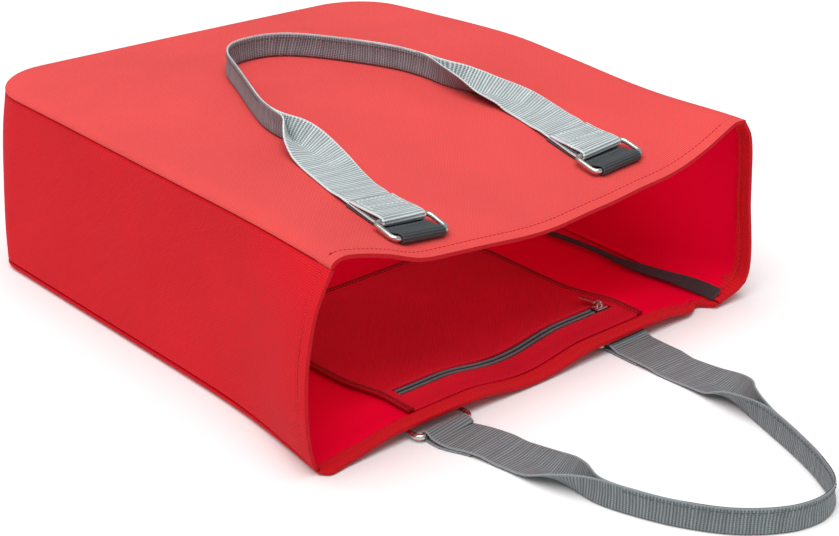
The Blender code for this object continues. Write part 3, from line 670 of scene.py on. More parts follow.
def returned_path(return_length):
    """The layer that leaves the top of the bar and comes down to its bed."""
    over = 2 * FOLD_RADIUS - LAYER_STEP
    length = return_length - FOLD_RADIUS
    return [(i / 12 * length, LAYER_STEP + over * eased(OVER_BAR_ROWS, 1, i / 12))
            for i in range(1, 13)]


def tab_path(length, return_length):
    """A web folded round a bar: its place along from the bar and its height over its bed."""
    path = [((length - FOLD_RADIUS) * (1 - i / 16), 0.0) for i in range(16)]
    return path + round_bar() + returned_path(return_length)


def handle_end(front):
    """Place along from the bar and height of a handle's end, from its cut end inward.

    The cut end of the front handle lies on top; that of the back handle lies underneath.
    """
    if front:
        return returned_path(HANDLE_RETURN)[::-1] + round_bar(from_top=True)
    path = [((HANDLE_RETURN - FOLD_RADIUS) * (1 - i / 10), 0.0) for i in range(10)]
    return path + round_bar() + returned_path(BACK_WEB_DROP)


def web_section(outer, inner):
    """Places across a web whose two halves stand up: (toward the outside, up) pairs."""
    points = []
    for sign, angle in ((1, outer), (-1, inner)):
        rise = max(math.radians(angle), 1e-4)
        radius = WEB_BEND / rise
        arm = [(sign * radius * math.sin(rise * i / 5), radius * (1 - math.cos(rise * i / 5)))
               for i in range(1, 6)]
        bend = arm[-1]
        for share in (0.14, 0.28, 0.42, 0.56, 0.70, 0.83, 0.92, 0.97, 1.0):
            rest = (WEB_WIDTH / 2 - WEB_BEND) * share
            closing = GRIP_CLOSING * step(share * 2) * step((angle - 60) / 30)
            arm.append((bend[0] + sign * (rest * math.cos(rise) - closing),
                        bend[1] + rest * math.sin(rise)))
        points = points + arm if sign == -1 else arm[::-1]
    return points


def handle_grid(front, rows):
    """Points of a long web between two rings: flat at the ends, folded lengthwise between."""
    reach = FRONT_REACH if front else BACK_REACH
    way = 1 if front else -1
    folds = [ring_ends(side, front)[1][0] - way * FOLD_RADIUS for side in (LEFT, RIGHT)]
    datum = folds[0] if front else 0.0
    middle = (tab_x(LEFT, front) + tab_x(RIGHT, front)) / 2
    spacing = tab_x(RIGHT, front) - tab_x(LEFT, front)
    straight = (0.0, 2.2 * FOLD_RADIUS, 4.4 * FOLD_RADIUS)
    line = [(tab_x(LEFT, front), folds[0] + way * along, 0.0, 0.0) for along in straight]
    for across, share, outer, inner in rows:
        line.append((middle + across * spacing, datum + way * share * reach, outer, inner))
    line += [(tab_x(RIGHT, front), folds[1] + way * along, 0.0, 0.0) for along in straight[::-1]]
    keyed = [(s,) + row for s, row in zip(lengths([row[:2] for row in line]), line)]
    length = keyed[-1][0]

    def frame_at(s):
        x, a = eased(keyed, 1, s), eased(keyed, 2, s)
        low, high = max(s - 0.002, 0), min(s + 0.002, length)
        dx = eased(keyed, 1, high) - eased(keyed, 1, low)
        da = eased(keyed, 2, high) - eased(keyed, 2, low)
        size = math.hypot(dx, da)
        return x, a, -way * da / size, way * dx / size

    def skew(s):
        """How far the ribs lag behind the web's turns, which they follow slowly."""
        def heading(place):
            x, a, bx, ba = frame_at(min(max(place, 0.0), length))
            return math.atan2(-bx * way, ba * way)
        mean = sum(heading(s + RIB_LAG * share / 4) for share in range(-4, 5)) / 9
        return way * math.tan(heading(s) - mean)

    end_path = handle_end(front)
    stations = [(along + FOLD_RADIUS, rise) for along, rise in end_path]
    first = stations[-1][0]
    low = 0.0 if front else LAYER_STEP
    for i in range(1, HANDLE_STATIONS):
        s = first + (length - 2 * first) * i / HANDLE_STATIONS
        from_end = min(s, length - s)
        stations.append((s, low * (1 - step((from_end - HANDLE_RETURN - 0.008) / 0.016))))
    stations += [(length - along - FOLD_RADIUS, rise) for along, rise in end_path[::-1]]

    grid = []
    for (s, rise), run in zip(stations, lengths(stations)):
        x, a, bx, ba = frame_at(s)
        section = web_section(eased(keyed, 3, s), eased(keyed, 4, s))
        side = LEFT if s < length / 2 else RIGHT
        from_end = min(s, length - s)
        bar = ring_ends(side, front)[1][0]
        over_tab = LAYER_STEP * (1 - step((from_end - 0.044) / 0.016))
        blend = step((from_end - 0.045) / 0.030)
        row, lag = [], skew(s)
        for (out, up), width in zip(section, lengths(section)):
            px, pa = x + bx * out, a + ba * out
            if front:
                bed = front_bed(side, px, pa, bar) * (1 - blend) + front_top(px, pa) * blend
                if up > 0.001:
                    bed = bed + (front_top(x, a) - bed) * step((up - 0.001) / 0.002)
                z = max(bed + up, front_top(px, pa)) + TAB_HEIGHT + over_tab + rise
            else:
                z = WEB_THICKNESS / 2 + 0.0001 + rise + up
            across = width - WEB_WIDTH / 2
            row.append((Vector((px, MOUTH_Y + pa, z)), (across, run + lag * across)))
        grid.append(row)
    return grid


def web_mesh(name, grid, materials):
    """Webbing from a grid: full thickness between its selvedges, thinner along them.

    The material after a face's own one is its underside's.
    """
    obj = sheet_mesh(name, [grid], materials, lambda centre: UP)
    edge = WEB_WIDTH / 2 - 0.0004
    layer = obj.data.uv_layers[0].data
    inside = {loop.vertex_index for loop in obj.data.loops if abs(layer[loop.index].uv[0]) < edge}
    solidify = obj.modifiers.new("Webbing", "SOLIDIFY")
    solidify.offset = 0.0
    solidify.thickness = WEB_THICKNESS
    solidify.material_offset = int(len(materials) > 1)
    group = obj.vertex_groups.new(name="inside")
    group.add(list(inside), 1.0, "REPLACE")
    solidify.vertex_group = group.name
    solidify.thickness_vertex_group = 0.45
    return obj


def tube_mesh(name, points, radius, sides, materials):
    """Closed wire along a loop of points."""
    work = bmesh.new()
    count = len(points)
    rings = []
    for i, point in enumerate(points):
        along = (points[(i + 1) % count] - points[i - 1]).normalized()
        side = along.cross(UP).normalized()
        lift = side.cross(along)
        turns = [2 * math.pi * k / sides for k in range(sides)]
        rings.append([work.verts.new(point + radius * (side * math.cos(t) + lift * math.sin(t)))
                      for t in turns])
    for i in range(count):
        low, high = rings[i], rings[(i + 1) % count]
        for k in range(sides):
            work.faces.new((low[k], low[(k + 1) % sides], high[(k + 1) % sides], high[k]))
    bmesh.ops.recalc_face_normals(work, faces=work.faces)
    return finish_mesh(name, work, materials)


def on_surface(surface, u, v, height, facing):
    """Point over a surface of two places, with its normal toward a direction."""
    small = 0.0006
    along = surface(u + small, v) - surface(u - small, v)
    across = surface(u, v + small) - surface(u, v - small)
    normal = along.cross(across).normalized()
    if normal.dot(facing) < 0:
        normal = -normal
    return surface(u, v) + normal * height, normal


STITCH_RINGS = (
    # place along, radius, height, as shares of the length, the radius and the radius
    (-0.50, 0.35, -0.60),
    (-0.32, 0.90, 0.05),
    (0.00, 1.00, 0.25),
    (0.32, 0.90, 0.05),
    (0.50, 0.35, -0.60),
)


def stitch_mesh(name, lines, material, body, slot, length, radius):
    """One mesh of separate stitches along lines of (point, normal)."""
    verts, faces = [], []
    pitch = length * STITCH_PITCH
    sides = STITCH_SIDES
    for line in lines:
        travelled = 0.0
        due = pitch / 2
        for (start, normal), (end, next_normal) in zip(line, line[1:]):
            span = (end - start).length
            while span > 0 and travelled + span >= due:
                centre = start + (end - start) * ((due - travelled) / span)
                along = (end - start).normalized()
                side = along.cross(normal).normalized()
                base = len(verts)
                for place, width, rise in STITCH_RINGS:
                    middle = centre + along * length * place + normal * radius * rise
                    for k in range(sides):
                        turn = 2 * math.pi * k / sides
                        verts.append(middle + radius * width * (side * math.cos(turn)
                                                                + normal * math.sin(turn)))
                for r in range(len(STITCH_RINGS) - 1):
                    for k in range(sides):
                        a, b = base + r * sides + k, base + r * sides + (k + 1) % sides
                        faces.append((a, b, b + sides, a + sides))
                faces.append(tuple(range(base, base + sides))[::-1])
                top = base + (len(STITCH_RINGS) - 1) * sides
                faces.append(tuple(range(top, top + sides)))
                due += pitch
            travelled += span
    mesh = bpy.data.meshes.new(name)
    mesh.from_pydata(verts, [], faces)
    mesh.shade_smooth()
    mesh.materials.append(material)
    obj = bpy.data.objects.new(name, mesh)
    bpy.context.scene.collection.objects.link(obj)
    return placed(obj, body, slot)


def sew(name, lines, thread, slot, share=1.0):
    """Stitches along lines, at the set length and thickness or a share of them."""
    cloth = context_cloth()
    return stitch_mesh(name, lines, thread, "bag", slot, cloth.stitch_length * share,
                       cloth.thread_radius * share)


def grid_normals(grid, i, j):
    """Normal of a grid of (point, place) at one of its points."""
    i0, i1 = max(i - 1, 0), min(i + 1, len(grid) - 1)
    j0, j1 = max(j - 1, 0), min(j + 1, len(grid[0]) - 1)
    along = grid[i1][j][0] - grid[i0][j][0]
    across = grid[i][j1][0] - grid[i][j0][0]
    return across.cross(along).normalized()


def line_on_web(grid, cells, lift, facing=None):
    """Stitch line over a web through the listed (station, place across) cells."""
    line = []
    for i, across in cells:
        row = grid[i]
        j = min(range(len(row)), key=lambda k: abs(row[k][1][0] - across))
        k = min(max(j + (1 if row[j][1][0] < across else -1), 0), len(row) - 1)
        gap = row[k][1][0] - row[j][1][0]
        t = (across - row[j][1][0]) / gap if gap else 0.0
        point = row[j][0] + (row[k][0] - row[j][0]) * t
        normal = grid_normals(grid, i, j)
        if facing is not None and normal.dot(facing) < 0:
            normal = -normal
        line.append((point + normal * lift, normal))
    return line


# Materials


def put(tree, kind, inputs=None, **settings):
    """Add a node; an input is a number, a colour or another node's socket."""
    made = tree.nodes.new(kind)
    for key, value in settings.items():
        setattr(made, key, value)
    for key, value in (inputs or {}).items():
        if isinstance(value, bpy.types.NodeSocket):
            tree.links.new(value, made.inputs[key])
        else:
            made.inputs[key].default_value = value
    return made


def blank(name, roughness, metallic=0.0, sheen=0.0, specular=0.5):
    """A new material with the values that are the same all over it."""
    material = bpy.data.materials.new(name)
    material.use_nodes = True
    tree = material.node_tree
    surface = tree.nodes["Principled BSDF"]
    surface.inputs["Roughness"].default_value = roughness
    surface.inputs["Metallic"].default_value = metallic
    surface.inputs["Sheen Weight"].default_value = sheen
    surface.inputs["Specular IOR Level"].default_value = specular
    return material, tree, surface


def with_alpha(colour, gain=1.0):
    """A colour socket's value, darker or lighter by a gain."""
    return tuple(min(channel * gain, 1.0) for channel in colour) + (1.0,)


def bands(spacing):
    """Scale of a band texture whose bands are the given distance apart on metre UVs."""
    return 2 * math.pi / 20 / spacing


def speckled(name, colour, finish, scale, low, high):
    """Material whose colour runs between two gains of its own in fine grains."""
    material, tree, surface = blank(name, **finish)
    at = put(tree, "ShaderNodeTexCoord").outputs["Object"]
    grain = put(tree, "ShaderNodeTexNoise", {"Vector": at, "Scale": scale, "Detail": 2.0})
    shade = put(tree, "ShaderNodeMix", {0: grain.outputs["Fac"], 6: with_alpha(colour, low),
                                        7: with_alpha(colour, high)}, data_type="RGBA")
    tree.links.new(shade.outputs[2], surface.inputs["Base Color"])
    return material


def woven_cloth(name, colour, spacing, depth, valley, roughness, specular, patchy=0.06):
    """Plain weave: warp and weft threads in turn on top, darker between the threads."""
    material, tree, surface = blank(name, roughness, specular=specular)
    uv = put(tree, "ShaderNodeTexCoord").outputs["UV"]
    warp = put(tree, "ShaderNodeTexWave", {"Vector": uv, "Scale": bands(spacing)},
               wave_type="BANDS", bands_direction="X")
    weft = put(tree, "ShaderNodeTexWave", {"Vector": uv, "Scale": bands(spacing)},
               wave_type="BANDS", bands_direction="Y")
    over = put(tree, "ShaderNodeTexChecker", {"Vector": uv, "Scale": 1 / spacing})
    height = put(tree, "ShaderNodeMix", {0: over.outputs["Fac"], 2: warp.outputs["Fac"],
                                         3: weft.outputs["Fac"]}, data_type="FLOAT")
    slub = put(tree, "ShaderNodeTexNoise", {"Vector": uv, "Scale": 9.0, "Detail": 3.0})
    shade = put(tree, "ShaderNodeMix", {0: height.outputs[0], 6: with_alpha(colour, valley),
                                        7: with_alpha(colour)}, data_type="RGBA")
    patches = put(tree, "ShaderNodeMapRange", {"Value": slub.outputs["Fac"], "From Min": 0.3,
                                               "From Max": 0.7, "To Min": 1 - patchy,
                                               "To Max": 1 + patchy})
    tone = put(tree, "ShaderNodeHueSaturation", {"Color": shade.outputs[2],
                                                 "Value": patches.outputs["Result"]})
    tree.links.new(tone.outputs["Color"], surface.inputs["Base Color"])
    bump = put(tree, "ShaderNodeBump", {"Height": height.outputs[0], "Strength": 0.6,
                                        "Distance": depth})
    tree.links.new(bump.outputs["Normal"], surface.inputs["Normal"])
    return material


def polyester_canvas(name, colour):
    """Woven polyester canvas, matt with a soft sheen; its 0.5 mm threads are drawn 1.5 mm apart,
    as coarse as they need to be to show."""
    return woven_cloth(name, colour, 0.0015, 0.0005, 0.60, 0.82, 0.2)


def coated_lining(name, colour):
    """Inner face of the canvas with its coating, smooth and slightly waxy."""
    return woven_cloth(name, colour, 0.0013, 0.00005, 0.95, 0.7, 0.03, patchy=0.04)


def folded_edge(name, colour):
    """Fold of the canvas at the mouth, whose threads are pressed into fine grains."""
    return speckled(name, colour, {"roughness": 0.82, "specular": 0.2}, 900.0, 0.45, 0.85)


def pocket_weave(name, colour):
    """Coarser woven pocket cloth whose threads show as dark and light grains."""
    return woven_cloth(name, colour, 0.0017, 0.0004, 0.55, 0.8, 0.12, patchy=0.10)


def ribbed_webbing(name, colour, rib):
    """Woven polyester webbing: crosswise ribs, fine lengthwise threads and a smooth selvedge."""
    material, tree, surface = blank(name, 0.62, sheen=0.10)
    uv = put(tree, "ShaderNodeTexCoord").outputs["UV"]
    place = put(tree, "ShaderNodeSeparateXYZ", {"Vector": uv})
    ribs = put(tree, "ShaderNodeTexWave", {"Vector": uv, "Scale": bands(rib), "Distortion": 0.6,
                                           "Detail": 1.0, "Detail Scale": 4.0},
               wave_type="BANDS", bands_direction="Y")
    warp = put(tree, "ShaderNodeTexWave", {"Vector": uv, "Scale": bands(0.0013)},
               wave_type="BANDS", bands_direction="X")
    crosswise = put(tree, "ShaderNodeMapping", {"Vector": uv, "Scale": (18.0, 260.0, 1.0)})
    uneven = put(tree, "ShaderNodeTexNoise", {"Vector": crosswise.outputs["Vector"],
                                              "Scale": 1.0, "Detail": 2.0})
    height = put(tree, "ShaderNodeMath", {0: ribs.outputs["Fac"], 1: 2.6, 2: warp.outputs["Fac"]},
                 operation="MULTIPLY_ADD")
    height = put(tree, "ShaderNodeMath", {0: height.outputs[0], 1: 0.278}, operation="MULTIPLY")
    shade = put(tree, "ShaderNodeMix", {0: height.outputs[0], 6: with_alpha(colour, 0.24),
                                        7: with_alpha(colour, 1.08)}, data_type="RGBA")
    grey = put(tree, "ShaderNodeMapRange", {"Value": uneven.outputs["Fac"], "From Min": 0.3,
                                            "From Max": 0.7, "To Min": 0.78, "To Max": 1.12})
    tone = put(tree, "ShaderNodeHueSaturation", {"Color": shade.outputs[2],
                                                 "Value": grey.outputs["Result"]})
    away = put(tree, "ShaderNodeMath", {0: place.outputs["X"]}, operation="ABSOLUTE")
    edge = put(tree, "ShaderNodeMapRange", {"Value": away.outputs[0],
                                            "From Min": WEB_WIDTH / 2 - 0.0014,
                                            "From Max": WEB_WIDTH / 2 - 0.0006})
    rim = put(tree, "ShaderNodeMix", {0: edge.outputs["Result"], 6: tone.outputs["Color"],
                                      7: with_alpha(colour)}, data_type="RGBA")
    tree.links.new(rim.outputs[2], surface.inputs["Base Color"])
    bump = put(tree, "ShaderNodeBump", {"Height": height.outputs[0], "Strength": 0.9,
                                        "Distance": 0.0008})
    tree.links.new(bump.outputs["Normal"], surface.inputs["Normal"])
    return material


def plain_tape(name, colour, rib):
    """Narrow woven polyester tape with a fine rib and the odd stitch mark."""
    material, tree, surface = blank(name, 0.78, sheen=0.08)
    uv = put(tree, "ShaderNodeTexCoord").outputs["UV"]
    ribs = put(tree, "ShaderNodeTexWave", {"Vector": uv, "Scale": bands(rib)},
               wave_type="BANDS", bands_direction="X")
    uneven = put(tree, "ShaderNodeTexNoise", {"Vector": uv, "Scale": 260.0, "Detail": 2.0})
    mixed = put(tree, "ShaderNodeMath", {0: ribs.outputs["Fac"], 1: uneven.outputs["Fac"]},
                operation="MULTIPLY")
    shade = put(tree, "ShaderNodeMix", {0: mixed.outputs[0], 6: with_alpha(colour, 0.6),
                                        7: with_alpha(colour, 1.7)}, data_type="RGBA")
    tree.links.new(shade.outputs[2], surface.inputs["Base Color"])
    bump = put(tree, "ShaderNodeBump", {"Height": ribs.outputs["Fac"], "Strength": 0.5,
                                        "Distance": 0.0003})
    tree.links.new(bump.outputs["Normal"], surface.inputs["Normal"])
    return material


def nickel_plate(name, colour, roughness):
    """Nickel-plated steel wire, polished, with faint rubbing marks in its gloss."""
    material, tree, surface = blank(name, roughness, metallic=1.0)
    surface.inputs["Base Color"].default_value = with_alpha(colour)
    at = put(tree, "ShaderNodeTexCoord").outputs["Object"]
    marks = put(tree, "ShaderNodeTexNoise", {"Vector": at, "Scale": 420.0, "Detail": 4.0})
    gloss = put(tree, "ShaderNodeMapRange", {"Value": marks.outputs["Fac"], "From Min": 0.3,
                                             "From Max": 0.7, "To Min": roughness * 0.7,
                                             "To Max": roughness * 1.4})
    tree.links.new(gloss.outputs["Result"], surface.inputs["Roughness"])
    return material


def spun_thread(name, colour):
    """Spun polyester sewing thread, matt with a twist."""
    finish = {"roughness": 0.7, "sheen": 0.1, "specular": 0.1}
    return speckled(name, colour, finish, 900.0, 0.75, 1.15)


def moulded_nylon(name, colour):
    """Nylon zip coil, smooth grey monofilament with a low gloss and a little dust."""
    return speckled(name, colour, {"roughness": 0.38}, 300.0, 1.0, 2.0)


def painted_floor(name, colour):
    """Matt painted studio floor, even and pale."""
    material, tree, surface = blank(name, 0.9, specular=0.1)
    surface.inputs["Base Color"].default_value = with_alpha(colour)
    return material


# Settings


def tint(name, description, code):
    return FloatVectorProperty(name=name, description=description, subtype="COLOR",
                               min=0, max=1, default=linear(code))


def distance(name, description, low, default):
    return FloatProperty(name=name, description=description, subtype="DISTANCE",
                         unit="LENGTH", min=low, default=default)


def power(name, description, default):
    return FloatProperty(name=name, description=description, subtype="POWER",
                         unit="POWER", min=0, default=default)


def strength(name, description, default):
    return FloatProperty(name=name, description=description, min=0, default=default)


class BagCloth(bpy.types.PropertyGroup):
    """Colours and finish of the sewn cloth"""

    # The top canvas is the same cloth as the rest, painted lighter because the top light falls on
    # it: painted highlight.
    canvas_top: tint("Top canvas", "Canvas of the top, which is lit more", "FF5A58")
    canvas: tint("Canvas", "Outer face of the canvas", "EE1727")
    lining: tint("Lining", "Coated inner face of the canvas", "F70339")
    pocket: tint("Pocket", "Woven cloth of the inside pocket", "F21C38")
    binding: tint("Binding", "Tape on the seams inside", "3A3034")
    thread: tint("Thread", "Sewing thread of the hems", "CC2630")
    ripple_height: distance("Unevenness", "Height of the soft waves", 0, 0.0010)
    stitch_length: distance("Stitch", "Length of one stitch", 0.001, 0.0030)
    thread_radius: distance("Thread radius", "Half the thread's thickness", 0.0001, 0.00052)


class BagTrim(bpy.types.PropertyGroup):
    """Colours and finish of the webbing, zip and metal"""

    webbing: tint("Webbing", "Webbing of the handles", "E2EEF0")
    # The grip colour is painted shade, not wear from hands: the web's underside faces outward
    # where the two halves stand up in the grip, and it is painted darker for the shade there.
    grip: tint("Grip", "Outside of the grip, darker from hands", "9EA2A8")
    # The lower handle is the same webbing as the upper one, painted darker for the shade it lies
    # in: painted shade.
    back_webbing_painted_shade: tint("Back webbing", "Webbing of the lower handle", "8F989B")
    tab: tint("Tab", "Webbing of the tabs", "3C464B")
    zip_tape: tint("Zip tape", "Tape of the zip", "1E2123")
    metal: tint("Metal", "Nickel of rings, slider and pull", "D6D6D2")
    rib: distance("Rib", "Distance between the webbing's ribs", 0.0005, 0.0022)


class BagStage(bpy.types.PropertyGroup):
    """Floor and light"""

    floor: tint("Floor", "Colour of the floor", "FAFAFA")
    sky: strength("Room light", "Strength of the even light of the room", 0.38)
    overhead: strength("Overhead light", "Strength of the soft top light", 2.65)
    fill: power("Fill light", "Power of the soft light in the mouth", 0.062)
    inner: power("Inner light", "Light that comes through the top cloth", 0.075)


def shared(make, name, *values):
    """A material that several pieces have, made for the first of them."""
    return bpy.data.materials.get(name) or make(name, *values)


def cloth_slots(face):
    """Outer face, lining, the hem's outer and inner faces, then the edges, in slot order."""
    cloth = context_cloth()
    # The front panel's top face gets the lighter canvas colour, which is painted light; the other
    # faces get the plain canvas.
    canvas = shared(polyester_canvas, "woven_polyester_canvas_" + face,
                    cloth.canvas_top if face == "top" else cloth.canvas)
    lining = shared(coated_lining, "coated_canvas_lining", cloth.lining)
    edge = shared(folded_edge, "folded_canvas_edge", cloth.canvas)
    return [canvas, lining, canvas, canvas, edge, edge, edge]


def hem_thread():
    return shared(spun_thread, "spun_polyester_thread", context_cloth().thread)


def nickel():
    return shared(nickel_plate, "nickel_plated_steel", bpy.context.scene.bag_trim.metal, 0.26)


def face_point(top, pull=no_pull):
    return lambda x, a: Vector((x, MOUTH_Y + a + pull(x, a), top(x, a)))


def aimed(data, place, target):
    """Put a lamp or camera at a place in the scene, looking at a target."""
    obj = bpy.data.objects.new(data.name, data)
    obj.location = place
    toward = Vector(target) - Vector(place)
    obj.rotation_euler = toward.to_track_quat("-Z", "Y").to_euler()
    bpy.context.scene.collection.objects.link(obj)
    return obj


# Operators


class BAG_OT_panels(bpy.types.Operator):
    """Front and back panels with their rolled edges, hems and hem stitches"""

    bl_idname = "bag.panels"
    bl_label = "Panels"

    def execute(self, context):
        front = sewn_face("front_cloth", FRONT_CORNER_RADIUS, SHOULDER_WIDTH, SHOULDER_ROWS, 1.0,
                          front_top, seam_height, no_pull, lambda centre: UP, cloth_slots("top"))
        back = sewn_face("back_cloth", BACK_CORNER_RADIUS, HEEL_WIDTH, HEEL_ROWS, 0.0,
                         back_lift, back_seam, back_pull, lambda centre: -UP,
                         cloth_slots("side"))
        placed(front, "bag", "canvas_front", "front_panel")
        placed(back, "bag", "canvas_back", "back_panel")

        lines = []
        places = spread(-BAG_WIDTH / 2 + 0.004, BAG_WIDTH / 2 - 0.004, 0.004)
        for top, pull, outward in ((front_top, no_pull, UP), (back_lift, back_pull, -UP)):
            surface = face_point(top, pull)
            rows = ((HEM_STITCH, 0.0, outward), (HEM_STITCH, 2 * CLOTH, -outward),
                    (0.0032, 2 * CLOTH, -outward))
            for along, depth, facing in rows:
                lines.append([on_surface(surface, x, along, depth, facing) for x in places])
        sew("panel_hem_stitches", lines, hem_thread(), "canvas_front")
        return {"FINISHED"}


class BAG_OT_gusset(bpy.types.Operator):
    """Gusset with its hem stitches, and the bindings on the seam allowances inside"""

    bl_idname = "bag.gusset"
    bl_label = "Gusset and bindings"

    def execute(self, context):
        cloth = context.scene.bag_cloth
        ends = (0.0, 0.003, 0.006, 0.010, 0.015, 0.023, 0.034)
        levels = list(ends) + spread(0.05, 0.95, 0.027) + [1 - share for share in ends[::-1]]
        grid = []
        for level in levels:
            grid.append([(point, (length, level * BAG_DEPTH))
                         for point, outward, length in gusset_ring(level)])
        obj = sheet_mesh("gusset_cloth", [grid], cloth_slots("side"),
                         lambda centre: Vector((centre.x, centre.y, 0)).normalized())
        thicken(obj, CLOTH, -1.0, doubled=mark_hem(obj), lining=True)
        placed(obj, "bag", "canvas_gusset", "gusset")

        lines = []
        for side in (LEFT, RIGHT):
            def surface(level, a, side=side):
                low, high = (seam(side * SIDE_SEAM_X, a) for seam in (back_seam, seam_height))
                y = MOUTH_Y + a + gusset_pull(side, a, level)
                return Vector((side_x(side, a, level), y, low + (high - low) * level))
            steps = spread(0.012, 0.988, 0.03)
            outward = Vector((side, 0, 0))
            for along, depth, facing in ((HEM_STITCH, 0.0, outward),
                                         (HEM_STITCH, 2 * CLOTH, -outward)):
                lines.append([on_surface(surface, v, along, depth, facing) for v in steps])
        sew("gusset_hem_stitches", lines, hem_thread(), "canvas_gusset")

        tape = plain_tape("black_polyester_binding", cloth.binding, 0.0016)
        hem_rows = len(HEM_STEPS)
        inward = CLOTH + LAYER_GAP + BINDING_THICKNESS / 2
        for name, node, first, seam_level, skipped in (
            ("back_seam_tape", "binding_back", BINDING_INSET, 0.0, 3),
            ("front_seam_tape", "binding_front", 1 - BINDING_INSET - BINDING_WIDTH, 1.0,
             hem_rows),
        ):
            grid = []
            for i in range(7):
                level = first + BINDING_WIDTH * i / 6
                row = []
                ring = gusset_ring(level, seam_level)
                for point, outward, length in ring[hem_rows:-skipped]:
                    a = point.y - MOUTH_Y
                    wave = ripple(length, i / 6 * 0.02, 5.5, 0.03, 0.0006)
                    hem = CLOTH * (1 - step((a - HEM_WIDTH) / HEM_EASE))
                    place = point - outward * (inward + hem + SEAM_GROOVE * 0.2 + wave)
                    if seam_level == 0.0 and outward.x > 0.99:
                        near, near_z, far, far_z = (eased(TAPE_ROWS, k, a) for k in (1, 2, 3, 4))
                        lying = Vector((near + (far - near) * i / 6, point.y,
                                        near_z + (far_z - near_z) * i / 6 + wave))
                        place = lying.lerp(place, step((a - 0.20) / 0.10))
                    row.append((place, (length, level * BAG_DEPTH)))
                grid.append(row)
            obj = sheet_mesh(name, [grid], [tape],
                             lambda centre: -Vector((centre.x, centre.y, 0)).normalized())
            thicken(obj, BINDING_THICKNESS, 0.0)
            placed(obj, "bag", "seam_binding", node)
        return {"FINISHED"}


class BAG_OT_pocket(bpy.types.Operator):
    """Inside pocket with its folded edges, slot and stitches"""

    bl_idname = "bag.pocket"
    bl_label = "Pocket"

    def execute(self, context):
        cloth = context.scene.bag_cloth
        half = POCKET_WIDTH / 2
        slot = half - ZIP_END_MARGIN
        near, far = ZIP_FROM_MOUTH - ZIP_OPENING / 2, ZIP_FROM_MOUTH + ZIP_OPENING / 2
        raised_near = ZIP_FROM_MOUTH - ZIP_TAPE_WIDTH / 2 - LAYER_GAP
        raised_far = ZIP_FROM_MOUTH + ZIP_TAPE_WIDTH / 2 + LAYER_GAP
        turn = POCKET_END - POCKET_CORNER_RADIUS
        band = POCKET_BAND * 0.5
        own = [-half, half, -half + band, half - band, -half + band + BAND_STEP,
               half - band - BAND_STEP, -slot, slot]
        columns = merged(own + spread(-half, half, POCKET_STEP), POCKET_NEAR)
        arc = [turn + POCKET_CORNER_RADIUS * math.sin(math.radians(6 * i)) for i in range(15)]
        rows = merged([POCKET_START, near, far, POCKET_START + band, POCKET_END - band,
                       POCKET_START + band + BAND_STEP, POCKET_END - band - BAND_STEP] + arc
                      + [POCKET_END] + spread(POCKET_START, turn, POCKET_STEP), POCKET_NEAR)

        def narrowed(a):
            past = max(a - turn, 0.0)
            round_off = POCKET_CORNER_RADIUS - math.sqrt(
                max(POCKET_CORNER_RADIUS ** 2 - past ** 2, 0.0))
            return (half - round_off) / half

        def height(x, a):
            rise = step((a - raised_near + 0.006) / 0.006) * step((raised_far + 0.012 - a) / 0.012)
            inside = step((half - band - abs(x - POCKET_SHIFT)) / 0.004)
            wave = ripple(x, a, 2.2, 0.05, 0.0010) + ripple(x, a, 8.8, 0.02, 0.0003)
            calm = step((a - raised_far) / 0.03) * step((half - abs(x - POCKET_SHIFT)) / 0.03)
            lift = (ZIP_TAPE_THICKNESS + LAYER_GAP) * rise * inside
            edge = min(half * narrowed(a) - abs(x - POCKET_SHIFT), POCKET_END - a)
            rolled = 0.0014 * fade(edge - 0.0024, 0.0026)
            return back_inner(x, a) + POCKET_GAP + lift + abs(wave) * calm + rolled

        grid = []
        for a in rows:
            row = []
            for c in columns:
                x = c * narrowed(a) + POCKET_SHIFT
                row.append((Vector((x, MOUTH_Y + a, height(x, a))), (x, a)))
            grid.append(row)
        open_rows = range(rows.index(near), rows.index(far))
        open_columns = range(columns.index(-slot), columns.index(slot))
        skip = {(i, j) for i in open_rows for j in open_columns}
        weave = pocket_weave("woven_pocket_cloth", cloth.pocket)
        # The doubled edge band of the pocket is drawn at half the pocket's colour: painted shade
        # along its raised edge.
        painted_shade_colour = [channel * 0.5 for channel in cloth.pocket]
        painted_shade_band = pocket_weave("pocket_edge_painted_shade", painted_shade_colour)
        obj = sheet_mesh("pocket_cloth", [grid], [weave, painted_shade_band], lambda centre: UP, skip)
        layer = obj.data.uv_layers[0].data
        doubled = set()
        for loop in obj.data.loops:
            x, a = layer[loop.index].uv
            reach = (half * narrowed(a)) - abs(x - POCKET_SHIFT)
            if min(POCKET_END - a, reach) < band + 1e-5:
                doubled.add(loop.vertex_index)
        for face in obj.data.polygons:
            face.material_index = int(doubled.issuperset(face.vertices))
        thicken(obj, POCKET_CLOTH, 1.0, doubled=doubled)
        placed(obj, "bag", "pocket_cloth", "pocket_panel")

        surface = face_point(height)
        top = 2 * POCKET_CLOTH
        lines = []
        for inset in (0.0010, 0.0036):
            edge = []
            reach = half - inset
            radius = POCKET_CORNER_RADIUS - inset
            for a in spread(POCKET_START + 0.001, turn, 0.005):
                edge.append((-reach, a))
            for i in range(1, 12):
                angle = math.radians(90 * i / 12)
                edge.append((-reach + radius * (1 - math.cos(angle)),
                             turn + radius * math.sin(angle)))
            across = half - POCKET_CORNER_RADIUS
            edge += [(x, POCKET_END - inset) for x in spread(-across, across, 0.005)]
            edge += [(-x, a) for x, a in edge[::-1] if x < -across + 1e-9]
            lines.append([on_surface(surface, x + POCKET_SHIFT, a, top, UP) for x, a in edge])
        for a in (near - 0.0020, far + 0.0020):
            lines.append([on_surface(surface, x + POCKET_SHIFT, a, POCKET_CLOTH, UP)
                          for x in spread(-slot - 0.002, slot + 0.002, 0.005)])
        sew("pocket_stitches", lines, hem_thread(), "pocket_cloth", 0.85)
        return {"FINISHED"}


